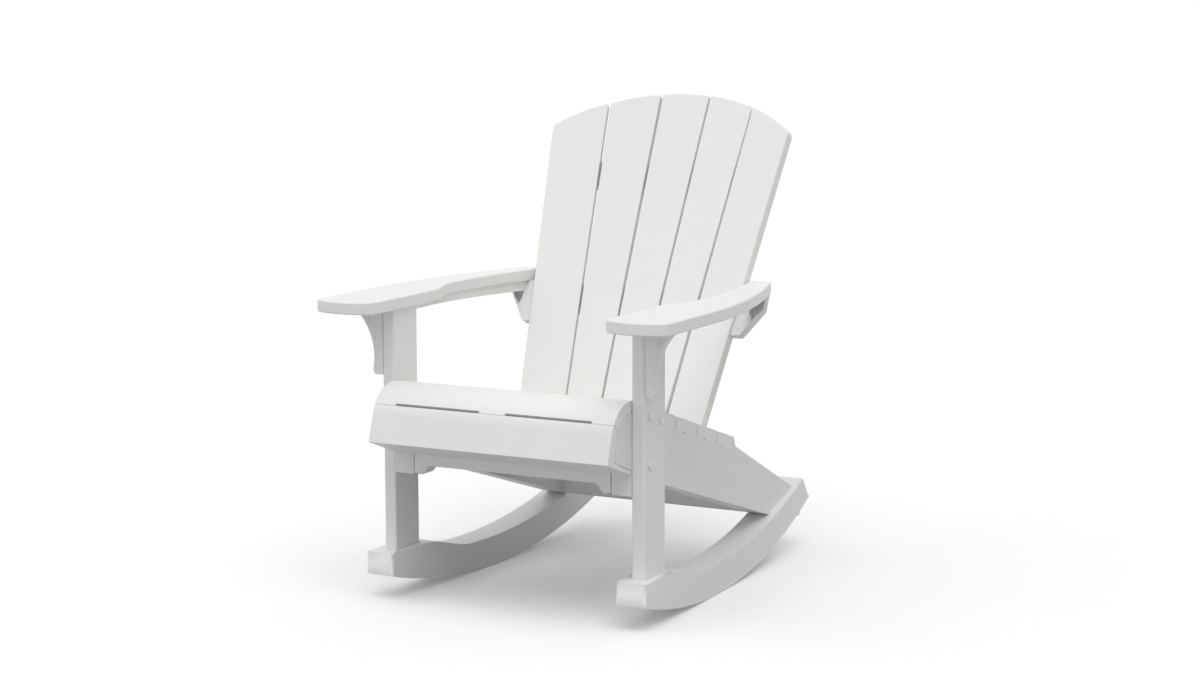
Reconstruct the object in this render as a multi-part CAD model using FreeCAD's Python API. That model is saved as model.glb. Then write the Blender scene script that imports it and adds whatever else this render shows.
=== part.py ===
# Rocking adirondack chair of moulded resin boards, in millimetres.
# +Z is up, the chair faces -Y, and it is symmetric about the YZ plane. The rockers touch the floor at z = 0.
# While the pieces are made, y is measured back from the front faces of the two legs. At the end they are all
# moved along y together, so that the origin lies on the floor at the middle of the chair's footprint.
import FreeCAD, Part

import math
import os

V = FreeCAD.Vector
X_AXIS = V(1, 0, 0)
Y_AXIS = V(0, 1, 0)
Z_AXIS = V(0, 0, 1)
ORIGIN = V(0, 0, 0)

# Legs
leg_gap = 520.0             # clear width between the legs
leg_thickness = 27.0
leg_depth = 85.0
leg_outer_chamfer = 4.0
leg_inner_chamfer = 2.0

# Rockers, measured in the upright plane that each one curves in
rocker_width = 62.0
rocker_radius = 1258.0      # the curve that the chair rolls on
rocker_waist = 61.0         # height over the point that touches the floor
rocker_top_radius = 1338.5
low_point = 314.0           # from the legs' front faces back to the point that touches the floor
rocker_top_low = 300.0      # from there back to the lowest point of the rocker's top
rocker_toe = 2.6            # degrees that a rocker turns in towards the back
rocker_inset = 1.2          # its middle line starts this much nearer to the chair's middle than the leg's
pad_height = 93.4           # flat pad under the leg
pad_front = 35.0            # how far the pad stands out in front of the leg
pad_back = 3.0              # how far the pad goes on behind the leg
toe_slope = 2.0             # the front face runs forward this much from top to bottom
dip_length = 160.0          # from the end of the pad to the rocker's slim part
dip_front_ease = 42.0       # how long the dip stays level at each end
dip_rear_ease = 60.0
tail_top = 775.0            # rear end of the rocker, at its top and at its foot
tail_foot = 811.0
rocker_front_round = 5.0
rocker_lip_out = 0.8        # thin lip round the lower edge
rocker_lip_height = 4.0
stop_nub_length = 14.0
stop_nub_height = 5.5
stop_nub_back = 60.0        # from the nub to the rocker's rear foot
stop_nub_round = 1.8

# Side panels
panel_thickness = 42.5
panel_foot = 250.0          # height of the bottom edge at the front
panel_knee = 130.0          # where the bottom edge starts to slope
panel_heel = 617.0          # where the bottom edge meets the rocker
panel_tail = 742.0          # where the top edge meets the rocker
panel_horn_y = 463.0        # foot of the curve that rises behind the last seat slat
panel_horn_z = 267.3
panel_horn_drop = 4.0       # from the slat's top down to the tip of that curve
panel_horn_sag = 3.0
panel_rim_height = 6.5
panel_rim_out = 3.5
panel_sunk = 15.0           # how far its outline goes on into the rocker, before the rocker is cut out of it

# Seat, in its own sloped frame: a runs back along the seat, b stands square on it, both from the corner
# where the seat's line and the fascia's front line would meet
seat_slope = 17.7           # degrees
seat_corner_y = -55.5
seat_corner_z = 451.9
seat_board = 24.5           # thickness of the seat's boards
nose_radius = 77.0
fascia_drop = 133.2
fascia_return = 9.0         # thickness of the lip that closes the fascia's underside
lip_level = 290.3           # height of that lip where it ends at the legs' front faces
slot_turn = 16.4            # degrees round the nose from the fascia to the slots
slot_height = 5.0
slot_inner = 28.0           # the slots run between these distances from the middle
slot_outer = 213.0
seat_first_joint = 66.7     # rear edge of the nose board
seat_last_joint = 454.0     # front edge of the last slat
last_slat_width = 81.0
seat_slats = 5
seat_gap = 3.0
board_round = 3.0
seat_end_clearance = 0.5    # from the ends of the front boards to the legs
slat_end_inset = 2.0        # from the ends of the slats to the panels' outer faces
fit = 0.3                   # running clearance round tongues, curves and holes
notch_gap = 3.0             # round the back, in the last seat slat
tongue_width = 8.0
tongue_thickness = 9.0
tongue_depth = 14.0
tongue_back = 12.0          # from a slat's middle towards the front
window_height = 3.0
window_wall = 6.0           # wall between a tongue's pocket and the panel's outer face

# Back: five flat boards on a cylinder that leans back. s runs round the cylinder from the middle, t runs up
# along it from the height back_z, and n stands out towards the sitter
back_lean = 26.9            # degrees from upright
back_radius = 766.5
back_y = 484.6
back_z = 420.0
back_low_t = -260.0
groove_gap = 4.5
groove_low = (41.5, 125.2, 227.3)     # the grooves and the outer edge, where t is 0
groove_high = (54.2, 163.7, 279.6)    # the same where t is groove_span
groove_span = 500.0
crest_centre = 164.0        # the top of the back is one arc about this t
crest_radius = 440.0
slat_thickness = 18.0
slat_corner = 4.0
shoulder_round = 15.0
slat_round = 2.0

# Rails behind the back
rail_depth = 20.0
upper_rail_t = 384.0
upper_rail_height = 58.0
upper_rail_reach = 219.0    # round the cylinder, from the middle to each end
arm_rail_drop = 3.3         # t from the armrests' undersides down to the rail
arm_rail_height = 62.0
arm_rail_reach = 245.5
lower_rail_t = -252.0
lower_rail_height = 60.0
housing_depth = 10.0        # how far rails and stretchers are let into the side panels

# Bracket ends of the arm rail, in the back's frame. Each comes out beside the outer slat with a lip along the
# slat's edge, and has a pocket under the armrest. Drops are values of t below the armrests' undersides
ear_inner = 214.0
ear_reach = 291.4
ear_rear = 8.0              # n of its rear face, of the front face outside the lip, and of the lip
ear_front = 24.0
ear_lip_front = 29.0
ear_lip_end = 260.0         # from here the front curves back from the lip
ear_fall = 11.0             # how far out that curve runs
ear_foot_drop = 103.8
ear_heel = 252.0            # where the lower edge ends and starts to slope
ear_slope_drop = 44.8       # where that slope meets the outer edge
ear_corner_round = 6.0
ear_floor = 4.0             # thickness of the pocket's floor
ear_pocket_tip = 270.5      # x and drop of the pocket's lowest corner
ear_pocket_tip_drop = 67.5
ear_pocket_wall = 3.0       # wall outside the pocket
ear_pocket_side_drop = 40.7  # where the pocket's slope meets that wall
ear_pocket_inner = 263.3
ear_pocket_rise = 15.0      # from its lowest corner up to its inner edge

# Armrests
arm_height = 594.5
arm_thickness = 24.0
arm_inset = 10.5            # inner edge, inside the leg's inner face
arm_overhang = 93.0         # outer edge, outside the leg's outer face
arm_nose = 90.0             # front corners, in front of the leg
arm_bow = 18.0              # rise of the front edge's curve
arm_step = 35.0             # the inner edge steps out by this much
arm_step_start = 118.0
arm_step_end = 275.0
arm_step_ease = 0.45        # share of the step's length that eases it in and out
arm_bend = 400.0            # the inner edge bends in round this point
arm_outer_start = 100.0
arm_outer_bend = 300.0
arm_tail_n = 0.9            # n of the rear end at its underside
arm_tail_inner = 243.0
arm_tail_width = 47.0
arm_front_corner = 24.0
arm_rear_corner = 8.0
arm_notch_gap = 1.5         # between an armrest and the back's outer slat
arm_round = 3.0

# Rails under the armrests
side_rail_inset = 8.0       # from the armrest's inner edge at its rear end
side_rail_width = 12.0
side_rail_start = 8.5       # from the leg's inner face to the rail's
side_rail_bow = 56.0        # from the same face to the pole that bows the rail out
side_rail_front_drop = 11.5  # height of the rail at the leg and at the bracket
side_rail_rear_drop = 21.0

# Curved brackets on the outside of the legs
bracket_thickness = 20.0
bracket_setback = 2.0
bracket_clearance = 32.2    # from the cap of the upper bolt to the bracket's foot
bracket_reach = 67.0
bracket_foot_width = 21.5
bracket_foot_round = 8.0
bracket_foot_rise = 15.0
bracket_sag = 17.0

# Front apron and rear stretcher
apron_depth = 38.0
apron_top = 300.0
apron_foot = 250.0
apron_arch = 268.0
apron_arch_half = 180.0
apron_arch_slope = 22.0
apron_round = 4.0
apron_gap = 2.0             # from its ends to the panels
apron_tenon_inset = 8.0     # from the apron's top and foot to its tenons
stretcher_front = 600.0
stretcher_thickness = 18.0
stretcher_foot = 103.0
stretcher_height = 85.5
stretcher_tenon_side = 5.0  # from the stretcher's faces to its tenons
stretcher_tenon_inset = 20.0

# Fasteners
bolt_radius = 4.0
bolt_head_radius = 6.5
bolt_head_height = 5.0
leg_bolt_bite = 26.0        # how far a leg bolt goes into the side panel
leg_bolt_top_front = (25.5, 400.1)    # y and z of the three bolts in a leg
leg_bolt_top_rear = (68.7, 386.9)
leg_bolt_low = (22.9, 308.0)
boss_radius = 13.0          # boss of the side panel round an upper bolt
cap_radius = 8.2
cap_height = 3.2
cap_round = 1.6
rocker_bolt_seat = 16.0     # depth of the counterbore under a rocker
rocker_bolt_bite = 45.0
rocker_bolt_edge = 20.0
panel_screw_bite = 34.0
panel_screw_spots = (634.0, 684.0)
screw_radius = 2.4
screw_head_radius = 4.6
screw_head_height = 3.0
slat_screw_bite = 14.0
arm_screw_bite = 15.0
arm_screw_spots = (150.0, 420.0)
arm_screw_seat = 5.0
ear_screw_bite = 12.0       # how far the screw through a bracket end goes into the rail under the armrest
ear_screw_out = 7.6         # from the inner face of that rail to the screw
bracket_screw_radius = 1.8
plug_radius = 3.5
plug_length = 5.0
plug_drop = 26.5            # from the armrest down to the plug in a leg bracket
plug_out = 29.0             # from the leg out to that plug
plug_tilt = 60.0            # degrees between the screw and the bracket's face

# Worked out from the sizes above
leg_inner = leg_gap / 2
leg_outer = leg_inner + leg_thickness
leg_middle = leg_inner + leg_thickness / 2
arm_under = arm_height - arm_thickness
panel_inner = leg_inner - panel_thickness
panel_middle = leg_inner - panel_thickness / 2
seat_half = leg_inner - seat_end_clearance
slat_pitch = (seat_last_joint - seat_first_joint) / (seat_slats - 1)
rocker_top_centre = rocker_waist + rocker_top_radius
arm_under_t = (arm_under - back_z) / math.cos(math.radians(back_lean))
arm_rail_t = arm_under_t - arm_rail_drop - arm_rail_height
ear_low_t = arm_under_t - ear_foot_drop
ear_slope_t = arm_under_t - ear_slope_drop
bracket_foot = leg_bolt_top_front[1] + cap_radius + bracket_clearance
big = 4 * arm_height        # larger than any piece of the chair


def box(x0, x1, y0, y1, z0, z1):
    return Part.makeBox(x1 - x0, y1 - y0, z1 - z0, V(x0, y0, z0))


def mirrored(shape):
    return shape.mirror(ORIGIN, X_AXIS)


def side_outline(edges_or_points, x0, x1):
    """Solid between x0 and x1 from an outline in the YZ plane, given as points or as edges at x = 0."""
    if isinstance(edges_or_points[0], tuple):
        points = [V(0, y, z) for y, z in edges_or_points]
        wire = Part.makePolygon(points + [points[0]])
    else:
        wire = Part.Wire(edges_or_points)
    solid = Part.Face(wire).extrude(V(x1 - x0, 0, 0))
    solid.translate(V(x0, 0, 0))
    return solid


def segment(start, end):
    return Part.LineSegment(start, end).toShape()


def arc(start, middle, end):
    return Part.Arc(start, middle, end).toShape()


def bezier(*poles):
    curve = Part.BezierCurve()
    curve.setPoles(list(poles))
    return curve.toShape()


def edges_where(shape, test):
    """The edges of a shape whose two ends both pass a test."""
    return [edge for edge in shape.Edges if all(test(vertex.Point) for vertex in edge.Vertexes)]


def runs_along(edge, axis):
    """True for an edge with two ends that lie on one line along the axis."""
    if len(edge.Vertexes) < 2:
        return False
    way = edge.Vertexes[1].Point - edge.Vertexes[0].Point
    return abs(abs(way.dot(axis)) - way.Length) < 1e-6


def near(value, target):
    return abs(value - target) < 1e-4


def cylinder_along(start, direction, radius, length):
    return Part.makeCylinder(radius, length, start, direction)


def fastener(seat, direction, length, shank_radius, head_radius, head_height):
    """A bolt or screw. Its head stands on the seat, and its shank goes along the direction."""
    shank = cylinder_along(seat, direction, shank_radius, length)
    head_start = seat - direction * head_height
    return shank.fuse(cylinder_along(head_start, direction, head_radius, head_height)).removeSplitter()


def fastener_hole(seat, direction, length, shank_radius, head_radius, head_depth):
    """The space that a fastener needs: a hole for the shank and a counterbore for the head."""
    space = cylinder_along(seat, direction, shank_radius + fit / 2, length + fit)
    if head_depth > 0:
        mouth = seat - direction * head_depth
        space = space.fuse(cylinder_along(mouth, direction, head_radius + fit, head_depth))
    return space


def cap(centre, direction):
    """A round cover with a rounded rim."""
    disc = cylinder_along(centre, direction, cap_radius, cap_height)
    top = centre + direction * cap_height
    rim = [edge for edge in disc.Edges if edge.CenterOfMass.distanceToPoint(top) < 1e-3]
    return disc.makeFillet(cap_round, rim)


# Rockers


def rolling_height(y):
    """Height of the rocker's underside above the floor, a distance y behind the legs' front faces."""
    return rocker_radius - math.sqrt(rocker_radius ** 2 - (y - low_point) ** 2)


def rocker_top_height(y):
    return rocker_top_centre - math.sqrt(rocker_top_radius ** 2 - (y - rocker_top_low) ** 2)


def rocker_point(y, height):
    return V(0, y, height(y))


def toed(shape):
    """Turn a rocker made on the YZ plane in towards the back, and set it under the right leg."""
    placed = shape.copy()
    placed.rotate(V(0, leg_depth / 2, 0), Z_AXIS, rocker_toe)
    placed.translate(V(leg_middle - rocker_inset, 0, 0))
    return placed


def rocker_blank():
    """Right rocker without its bolt holes."""
    pad_end = leg_depth + pad_back
    dip_end = pad_end + dip_length
    front_foot = rocker_point(-pad_front - toe_slope, rolling_height)
    front_top = V(0, -pad_front, pad_height)
    pad_edge = V(0, pad_end, pad_height)
    dip = rocker_point(dip_end, rocker_top_height)
    rear_top = rocker_point(tail_top, rocker_top_height)
    rear_foot = rocker_point(tail_foot, rolling_height)
    steepness = (dip_end - rocker_top_low) / (rocker_top_centre - dip.z)
    rear_pole = dip - V(0, dip_rear_ease, dip_rear_ease * steepness)
    outline = [
        segment(front_foot, front_top),
        segment(front_top, pad_edge),
        bezier(pad_edge, pad_edge + V(0, dip_front_ease, 0), rear_pole, dip),
        arc(dip, rocker_point((dip_end + tail_top) / 2, rocker_top_height), rear_top),
        segment(rear_top, rear_foot),
        arc(rear_foot, rocker_point(low_point, rolling_height), front_foot),
    ]
    half = rocker_width / 2
    body = side_outline(outline, -half, half)
    body = body.makeFillet(rocker_front_round, front_corners(body, half))
    nub_y = tail_foot - stop_nub_back
    nub_foot = rolling_height(nub_y) - stop_nub_height
    nub = box(-half, half, nub_y - stop_nub_length / 2, nub_y + stop_nub_length / 2, nub_foot,
              rolling_height(nub_y) + rocker_waist / 2)
    nub_edges = [edge for edge in edges_where(nub, lambda p: near(p.z, nub_foot)) if runs_along(edge, X_AXIS)]
    nub = nub.makeFillet(stop_nub_round, nub_edges)
    return toed(body.fuse(rocker_lip()).fuse(nub).removeSplitter())


def rocker_lip():
    """The thin lip that runs round the rocker's lower edge."""
    def lifted(y):
        return rolling_height(y) + rocker_lip_height

    front = -pad_front - toe_slope
    rear = tail_foot
    outline = [
        arc(rocker_point(front, rolling_height), rocker_point(low_point, rolling_height),
            rocker_point(rear, rolling_height)),
        segment(rocker_point(rear, rolling_height), rocker_point(rear, lifted)),
        arc(rocker_point(rear, lifted), rocker_point(low_point, lifted), rocker_point(front, lifted)),
        segment(rocker_point(front, lifted), rocker_point(front, rolling_height)),
    ]
    half = rocker_width / 2 + rocker_lip_out
    band = side_outline(outline, -half, half)
    corners = [edge for edge in edges_where(band, lambda p: near(p.y, front)) if not runs_along(edge, X_AXIS)]
    return band.makeFillet(rocker_front_round, corners)


def front_corners(body, half):
    """The two upright edges of a rocker's front face."""
    ends = edges_where(body, lambda p: near(abs(p.x), half) and p.y < -pad_front + 1e-4)
    return [edge for edge in ends if not runs_along(edge, X_AXIS)]


def rocker_bolt_seats():
    """Where the bolts that come up through the right rocker sit, with how far each one reaches."""
    spots = []
    for y in (rocker_bolt_edge, leg_depth - rocker_bolt_edge):
        seat = V(leg_middle, y, rolling_height(y) + rocker_bolt_seat)
        spots.append((seat, pad_height + rocker_bolt_bite - seat.z))
    for y in panel_screw_spots:
        seat = V(panel_middle, y, rolling_height(y) + rocker_bolt_seat)
        spots.append((seat, rocker_top_height(y) + panel_screw_bite - seat.z))
    return spots


def rocker_bolts():
    return [fastener(seat, Z_AXIS, length, bolt_radius, bolt_head_radius, bolt_head_height)
            for seat, length in rocker_bolt_seats()]


def rocker_bolt_holes():
    return [fastener_hole(seat, Z_AXIS, length, bolt_radius, bolt_head_radius, 2 * rocker_bolt_seat)
            for seat, length in rocker_bolt_seats()]


# Seat


def seat_point(a, b):
    """The y and z of a point in the seat's own sloped frame."""
    slope = math.radians(seat_slope)
    return (seat_corner_y + a * math.cos(slope) + b * math.sin(slope),
            seat_corner_z - a * math.sin(slope) + b * math.cos(slope))


def seat_vector(a, b):
    y, z = seat_point(a, b)
    return V(0, y, z)


def seat_block(a0, a1, b0, b1, x0, x1):
    corners = [seat_point(a0, b0), seat_point(a1, b0), seat_point(a1, b1), seat_point(a0, b1)]
    return side_outline(corners, x0, x1)


def nose_point(turn, inset):
    """A point of the nose's skin, turned up from the fascia by some degrees, a distance inside the skin."""
    radius = nose_radius - inset
    angle = math.radians(turn)
    return seat_vector(nose_radius - radius * math.cos(angle), -nose_radius + radius * math.sin(angle))


def nose_end_turn():
    """How far round the nose its board goes before its rear edge."""
    return 90.0 - math.degrees(math.asin((nose_radius - seat_first_joint) / nose_radius))


def slot_half_turn():
    return math.degrees(slot_height / 2 / nose_radius)


def lip_end(rise):
    """The rear end of the fascia's lip, a small clearance in front of the legs."""
    return V(0, -seat_end_clearance, lip_level + rise)


def fascia():
    """Front board under the slots, with the lip that closes its underside."""
    edge_turn = slot_turn - slot_half_turn()
    slope = math.radians(seat_slope)
    outer_foot = seat_vector(0, -fascia_drop)
    inner_foot = seat_vector(seat_board, -fascia_drop + fascia_return / math.cos(slope))
    outline = [
        arc(nose_point(edge_turn, 0), nose_point(edge_turn / 2, 0), nose_point(0, 0)),
        segment(nose_point(0, 0), outer_foot),
        segment(outer_foot, lip_end(0)),
        segment(lip_end(0), lip_end(fascia_return)),
        segment(lip_end(fascia_return), inner_foot),
        segment(inner_foot, nose_point(0, seat_board)),
        arc(nose_point(0, seat_board), nose_point(edge_turn / 2, seat_board),
            nose_point(edge_turn, seat_board)),
        segment(nose_point(edge_turn, seat_board), nose_point(edge_turn, 0)),
    ]
    return side_outline(outline, -seat_half, seat_half)


def nose_board():
    """The front seat board: the curved nose over the slots, with the lugs between and beside the slots."""
    start = slot_turn + slot_half_turn()
    end = nose_end_turn()
    middle = (start + end) / 2
    outline = [
        arc(nose_point(start, 0), nose_point(middle, 0), nose_point(end, 0)),
        segment(nose_point(end, 0), seat_vector(seat_first_joint, -seat_board)),
        segment(seat_vector(seat_first_joint, -seat_board), nose_point(end, seat_board)),
        arc(nose_point(end, seat_board), nose_point(middle, seat_board), nose_point(start, seat_board)),
        segment(nose_point(start, seat_board), nose_point(start, 0)),
    ]
    return side_outline(outline, -seat_half, seat_half).fuse(slot_lugs()).removeSplitter()


def slot_lugs():
    """The lugs that reach down from the nose board to the fascia, in the middle and at both ends."""
    start = slot_turn + slot_half_turn()
    foot = slot_turn - slot_half_turn() + math.degrees(fit / nose_radius)
    middle = (start + foot) / 2
    outline = [
        arc(nose_point(foot, 0), nose_point(middle, 0), nose_point(start, 0)),
        segment(nose_point(start, 0), nose_point(start, seat_board)),
        arc(nose_point(start, seat_board), nose_point(middle, seat_board), nose_point(foot, seat_board)),
        segment(nose_point(foot, seat_board), nose_point(foot, 0)),
    ]
    lugs = side_outline(outline, -slot_inner, slot_inner)
    for x0, x1 in ((-seat_half, -slot_outer), (slot_outer, seat_half)):
        lugs = lugs.fuse(side_outline(outline, x0, x1))
    return lugs


def slat_span(index):
    """Front and rear edge of a seat slat, along the seat. The last slat has a width of its own."""
    start = seat_first_joint + index * slat_pitch
    width = last_slat_width if index == seat_slats - 1 else slat_pitch
    return start + seat_gap, start + width


def tongue_spots():
    """Where the tongues under the seat boards stand, along the seat."""
    return [sum(slat_span(index)) / 2 - tongue_back for index in range(seat_slats)]


def tongue(a, room, x_room):
    outer = leg_inner - window_wall
    return seat_block(a - tongue_width / 2 - room, a + tongue_width / 2 + room,
                      -seat_board - tongue_depth - room, -seat_board,
                      outer - tongue_thickness - x_room, outer + x_room)


def seat_slat(index):
    start, end = slat_span(index)
    board = seat_block(start, end, -seat_board, 0, slat_end_inset - leg_inner, leg_inner - slat_end_inset)
    board = board.makeFillet(board_round, [edge for edge in board.Edges if runs_along(edge, X_AXIS)])
    peg = tongue(tongue_spots()[index], 0, 0)
    peg = peg.fuse(seat_block(*peg_root(index)))
    return board.fuse(peg).fuse(mirrored(peg)).removeSplitter()


def peg_root(index):
    """A short root that joins a tongue to the underside of its board."""
    a = tongue_spots()[index]
    outer = leg_inner - window_wall
    return (a - tongue_width / 2, a + tongue_width / 2, -seat_board, -seat_board / 2,
            outer - tongue_thickness, outer)


def boss_spots():
    """The upper bolts of a leg go through bosses of the side panel, let into the boards above."""
    return [leg_bolt_top_front, leg_bolt_top_rear]


def boss_space(spot, room):
    y, z = spot
    reach = panel_thickness + 2 * room
    return cylinder_along(V(leg_inner - panel_thickness - room, y, z), X_AXIS, boss_radius + room, reach)


# Side panels


def panel_outline():
    slat_end = seat_last_joint + last_slat_width
    inner_slope = math.radians(seat_slope)
    inner_foot = seat_vector(seat_board + fit, -fascia_drop + fascia_return / math.cos(inner_slope) + fit)
    nose_start = nose_point(0, seat_board + fit)
    nose_top = nose_point(90.0, seat_board)
    nose_end = nose_point(90.0, seat_board + fit)
    seat_rear = seat_vector(slat_end, -seat_board)
    horn_tip = seat_vector(slat_end, -panel_horn_drop)
    horn_foot = V(0, panel_horn_y, panel_horn_z)
    horn_belly = (horn_tip + horn_foot) * 0.5 - V(0, panel_horn_sag, panel_horn_sag / 2)
    sunk_tail = V(0, panel_tail, rocker_top_height(panel_tail) - panel_sunk)
    sunk_heel = V(0, panel_heel + panel_sunk, rocker_top_height(panel_heel) - panel_sunk)
    front_top = V(0, 0, lip_end(fascia_return + fit).z)
    return [
        segment(V(0, 0, panel_foot), front_top),
        segment(front_top, inner_foot),
        segment(inner_foot, nose_start),
        arc(nose_start, nose_point(45.0, seat_board + fit), nose_end),
        segment(nose_end, nose_top),
        segment(nose_top, seat_rear),
        segment(seat_rear, horn_tip),
        arc(horn_tip, horn_belly, horn_foot),
        segment(horn_foot, rocker_point(panel_tail, rocker_top_height)),
        segment(rocker_point(panel_tail, rocker_top_height), sunk_tail),
        segment(sunk_tail, sunk_heel),
        segment(sunk_heel, rocker_point(panel_heel, rocker_top_height)),
        segment(rocker_point(panel_heel, rocker_top_height), V(0, panel_knee, panel_foot)),
        segment(V(0, panel_knee, panel_foot), V(0, 0, panel_foot)),
    ]


def panel_bottom(y):
    """Height of a side panel's bottom edge, behind its knee."""
    heel_height = rocker_top_height(panel_heel)
    return panel_foot + (heel_height - panel_foot) * (y - panel_knee) / (panel_heel - panel_knee)


def panel_rim(x0, x1, y0, y1):
    """A stretch of the raised rim along a panel's bottom edge."""
    outline = [(y0, panel_foot), (panel_knee, panel_foot), (y1, panel_bottom(y1)),
               (y1, panel_bottom(y1) + panel_rim_height), (panel_knee, panel_foot + panel_rim_height),
               (y0, panel_foot + panel_rim_height)]
    return side_outline(outline, x0, x1)


def side_panel(rocker, cross_pieces):
    """Right side panel. Rails and stretchers are let into it, and it stands on the rocker."""
    panel = side_outline(panel_outline(), panel_inner, leg_inner)
    outer_start = leg_depth + seat_end_clearance
    inner_start = apron_depth + seat_end_clearance
    inner_end = stretcher_front - seat_end_clearance
    panel = panel.fuse(panel_rim(leg_inner, leg_inner + panel_rim_out, outer_start, panel_heel))
    panel = panel.fuse(panel_rim(panel_inner - panel_rim_out, panel_inner, inner_start, inner_end))
    for spot in boss_spots():
        panel = panel.fuse(boss_space(spot, 0))
    for a in tongue_spots():
        panel = panel.cut(tongue(a, fit, fit))
        panel = panel.cut(seat_block(a - tongue_width / 2, a + tongue_width / 2, -seat_board - window_height,
                                     -seat_board, leg_inner - window_wall - fit, leg_inner + fit))
    for piece in cross_pieces:
        panel = panel.cut(piece)
    panel = panel.cut(rocker)
    for space in leg_bolt_holes() + rocker_bolt_holes():
        panel = panel.cut(space)
    return panel.removeSplitter()


# Legs


def leg_bolt_spots():
    return [leg_bolt_top_front, leg_bolt_top_rear, leg_bolt_low]


def leg_bolt_seats():
    depth = bolt_head_height + fit
    return [V(leg_outer - depth, y, z) for y, z in leg_bolt_spots()]


def leg_bolt_length():
    return leg_thickness - bolt_head_height - fit + leg_bolt_bite


def leg_bolts():
    return [fastener(seat, -X_AXIS, leg_bolt_length(), bolt_radius, bolt_head_radius, bolt_head_height)
            for seat in leg_bolt_seats()]


def leg_bolt_holes():
    depth = bolt_head_height + 2 * fit
    return [fastener_hole(seat, -X_AXIS, leg_bolt_length(), bolt_radius, bolt_head_radius, depth)
            for seat in leg_bolt_seats()]


def leg_caps():
    return [cap(V(leg_outer, y, z), X_AXIS) for y, z in leg_bolt_spots()]


def front_leg():
    leg = box(leg_inner, leg_outer, 0, leg_depth, pad_height, arm_under)
    for x, size in ((leg_inner, leg_inner_chamfer), (leg_outer, leg_outer_chamfer)):
        corner = edges_where(leg, lambda p: near(p.y, 0) and near(p.x, x))
        leg = leg.makeChamfer(size, corner)
    for space in leg_bolt_holes() + rocker_bolt_holes():
        leg = leg.cut(space)
    return leg


# Armrests


def arm_inner_x():
    return leg_inner - arm_inset


def arm_inner_edges():
    """The inner edge of the right armrest's underside, from front to rear."""
    arm_tail = back_plane_y(arm_tail_n, arm_under)
    x = arm_inner_x()
    stepped = x + arm_step
    ease = arm_step_ease * (arm_step_end - arm_step_start)
    start = V(x, arm_step_start, arm_under)
    end = V(stepped, arm_step_end, arm_under)
    return [
        segment(V(x, -arm_nose, arm_under), start),
        bezier(start, start + V(0, ease, 0), end - V(0, ease, 0), end),
        bezier(end, V(stepped, arm_bend, arm_under), V(arm_tail_inner, arm_tail, arm_under)),
    ]


def armrest():
    arm_tail = back_plane_y(arm_tail_n, arm_under)
    x_in = arm_inner_x()
    x_out = leg_outer + arm_overhang
    front_in = V(x_in, -arm_nose, arm_under)
    front_out = V(x_out, -arm_nose, arm_under)
    front_middle = V((x_in + x_out) / 2, -arm_nose - arm_bow, arm_under)
    outer_start = V(x_out, arm_outer_start, arm_under)
    tail_in = V(arm_tail_inner, arm_tail, arm_under)
    tail_out = V(arm_tail_inner + arm_tail_width, arm_tail, arm_under)
    outline = arm_inner_edges() + [
        segment(tail_in, tail_out),
        bezier(tail_out, V(x_out, arm_outer_bend, arm_under), outer_start),
        segment(outer_start, front_out),
        arc(front_out, front_middle, front_in),
    ]
    board = Part.Face(Part.Wire(outline)).extrude(V(0, 0, arm_thickness))
    front = [edge for edge in edges_where(board, lambda p: near(p.y, -arm_nose)) if runs_along(edge, Z_AXIS)]
    board = board.makeFillet(arm_front_corner, front)
    rear = [edge for edge in edges_where(board, lambda p: near(p.y, arm_tail)) if runs_along(edge, Z_AXIS)]
    board = board.makeFillet(arm_rear_corner, rear)
    top_rim = edges_where(board, lambda p: near(p.z, arm_height))
    low_rim = edges_where(board, lambda p: near(p.z, arm_under))
    board = board.makeFillet(arm_round, top_rim + low_rim)
    for space in arm_screw_holes() + [plug_space(), back_envelope(arm_notch_gap, big, slat_thickness)]:
        board = board.cut(space)
    return board


def side_rail_end_y(z):
    """Where the rail under an armrest ends, at some height: on the leaning lip of the bracket end."""
    return back_plane_y(ear_lip_front, z)


def side_rail_foot(y):
    """Height of the underside of the rail under an armrest."""
    run = (y - leg_depth) / (back_y - leg_depth)
    return arm_under - side_rail_front_drop - (side_rail_rear_drop - side_rail_front_drop) * run


def arm_side_rail():
    """Rail under the right armrest, from the leg to the bracket end of the arm rail."""
    rail = side_rail_plan().extrude(V(0, 0, big))
    end_y = side_rail_end_y(arm_under)
    low_end_y = side_rail_end_y(side_rail_foot(end_y))
    side = [(leg_depth, side_rail_foot(leg_depth)), (low_end_y, side_rail_foot(low_end_y)),
            (end_y, arm_under), (leg_depth, arm_under)]
    rail = rail.common(side_outline(side, 0, big))
    for space in arm_screw_holes():
        rail = rail.cut(space)
    return rail


def side_rail_plan():
    """The strip that the rail under an armrest covers, seen from above. It bows out as the armrest does."""
    rear_y = back_plane_y(arm_tail_n, arm_under)
    poles = [V(leg_inner + side_rail_start, leg_depth, 0),
             V(leg_inner + side_rail_bow, (leg_depth + rear_y) / 2, 0),
             V(arm_tail_inner + side_rail_inset, rear_y, 0)]
    outer_poles = [pole + V(side_rail_width, 0, 0) for pole in poles]
    ends = [segment(poles[-1], outer_poles[-1]), segment(outer_poles[0], poles[0])]
    return Part.Face(Part.Wire(Part.__sortEdges__([bezier(*poles), bezier(*outer_poles)] + ends)))


def side_rail_middle(y):
    """The x of the middle of the rail under an armrest."""
    return side_rail_plan().common(box(0, big, y, y + 1, -1, 1)).BoundBox.Center.x


def arm_screw_seats():
    """Where the screws that hold the right armrest from below sit, with how far each one reaches."""
    seats = [V(side_rail_middle(y), y, side_rail_foot(y) + arm_screw_seat) for y in arm_screw_spots]
    return [(seat, arm_under + arm_screw_bite - seat.z) for seat in seats]


def ear_screw_height():
    """Height of the middle of the rear end of the rail under an armrest."""
    return (arm_under + side_rail_foot(side_rail_end_y(arm_under))) / 2


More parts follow.
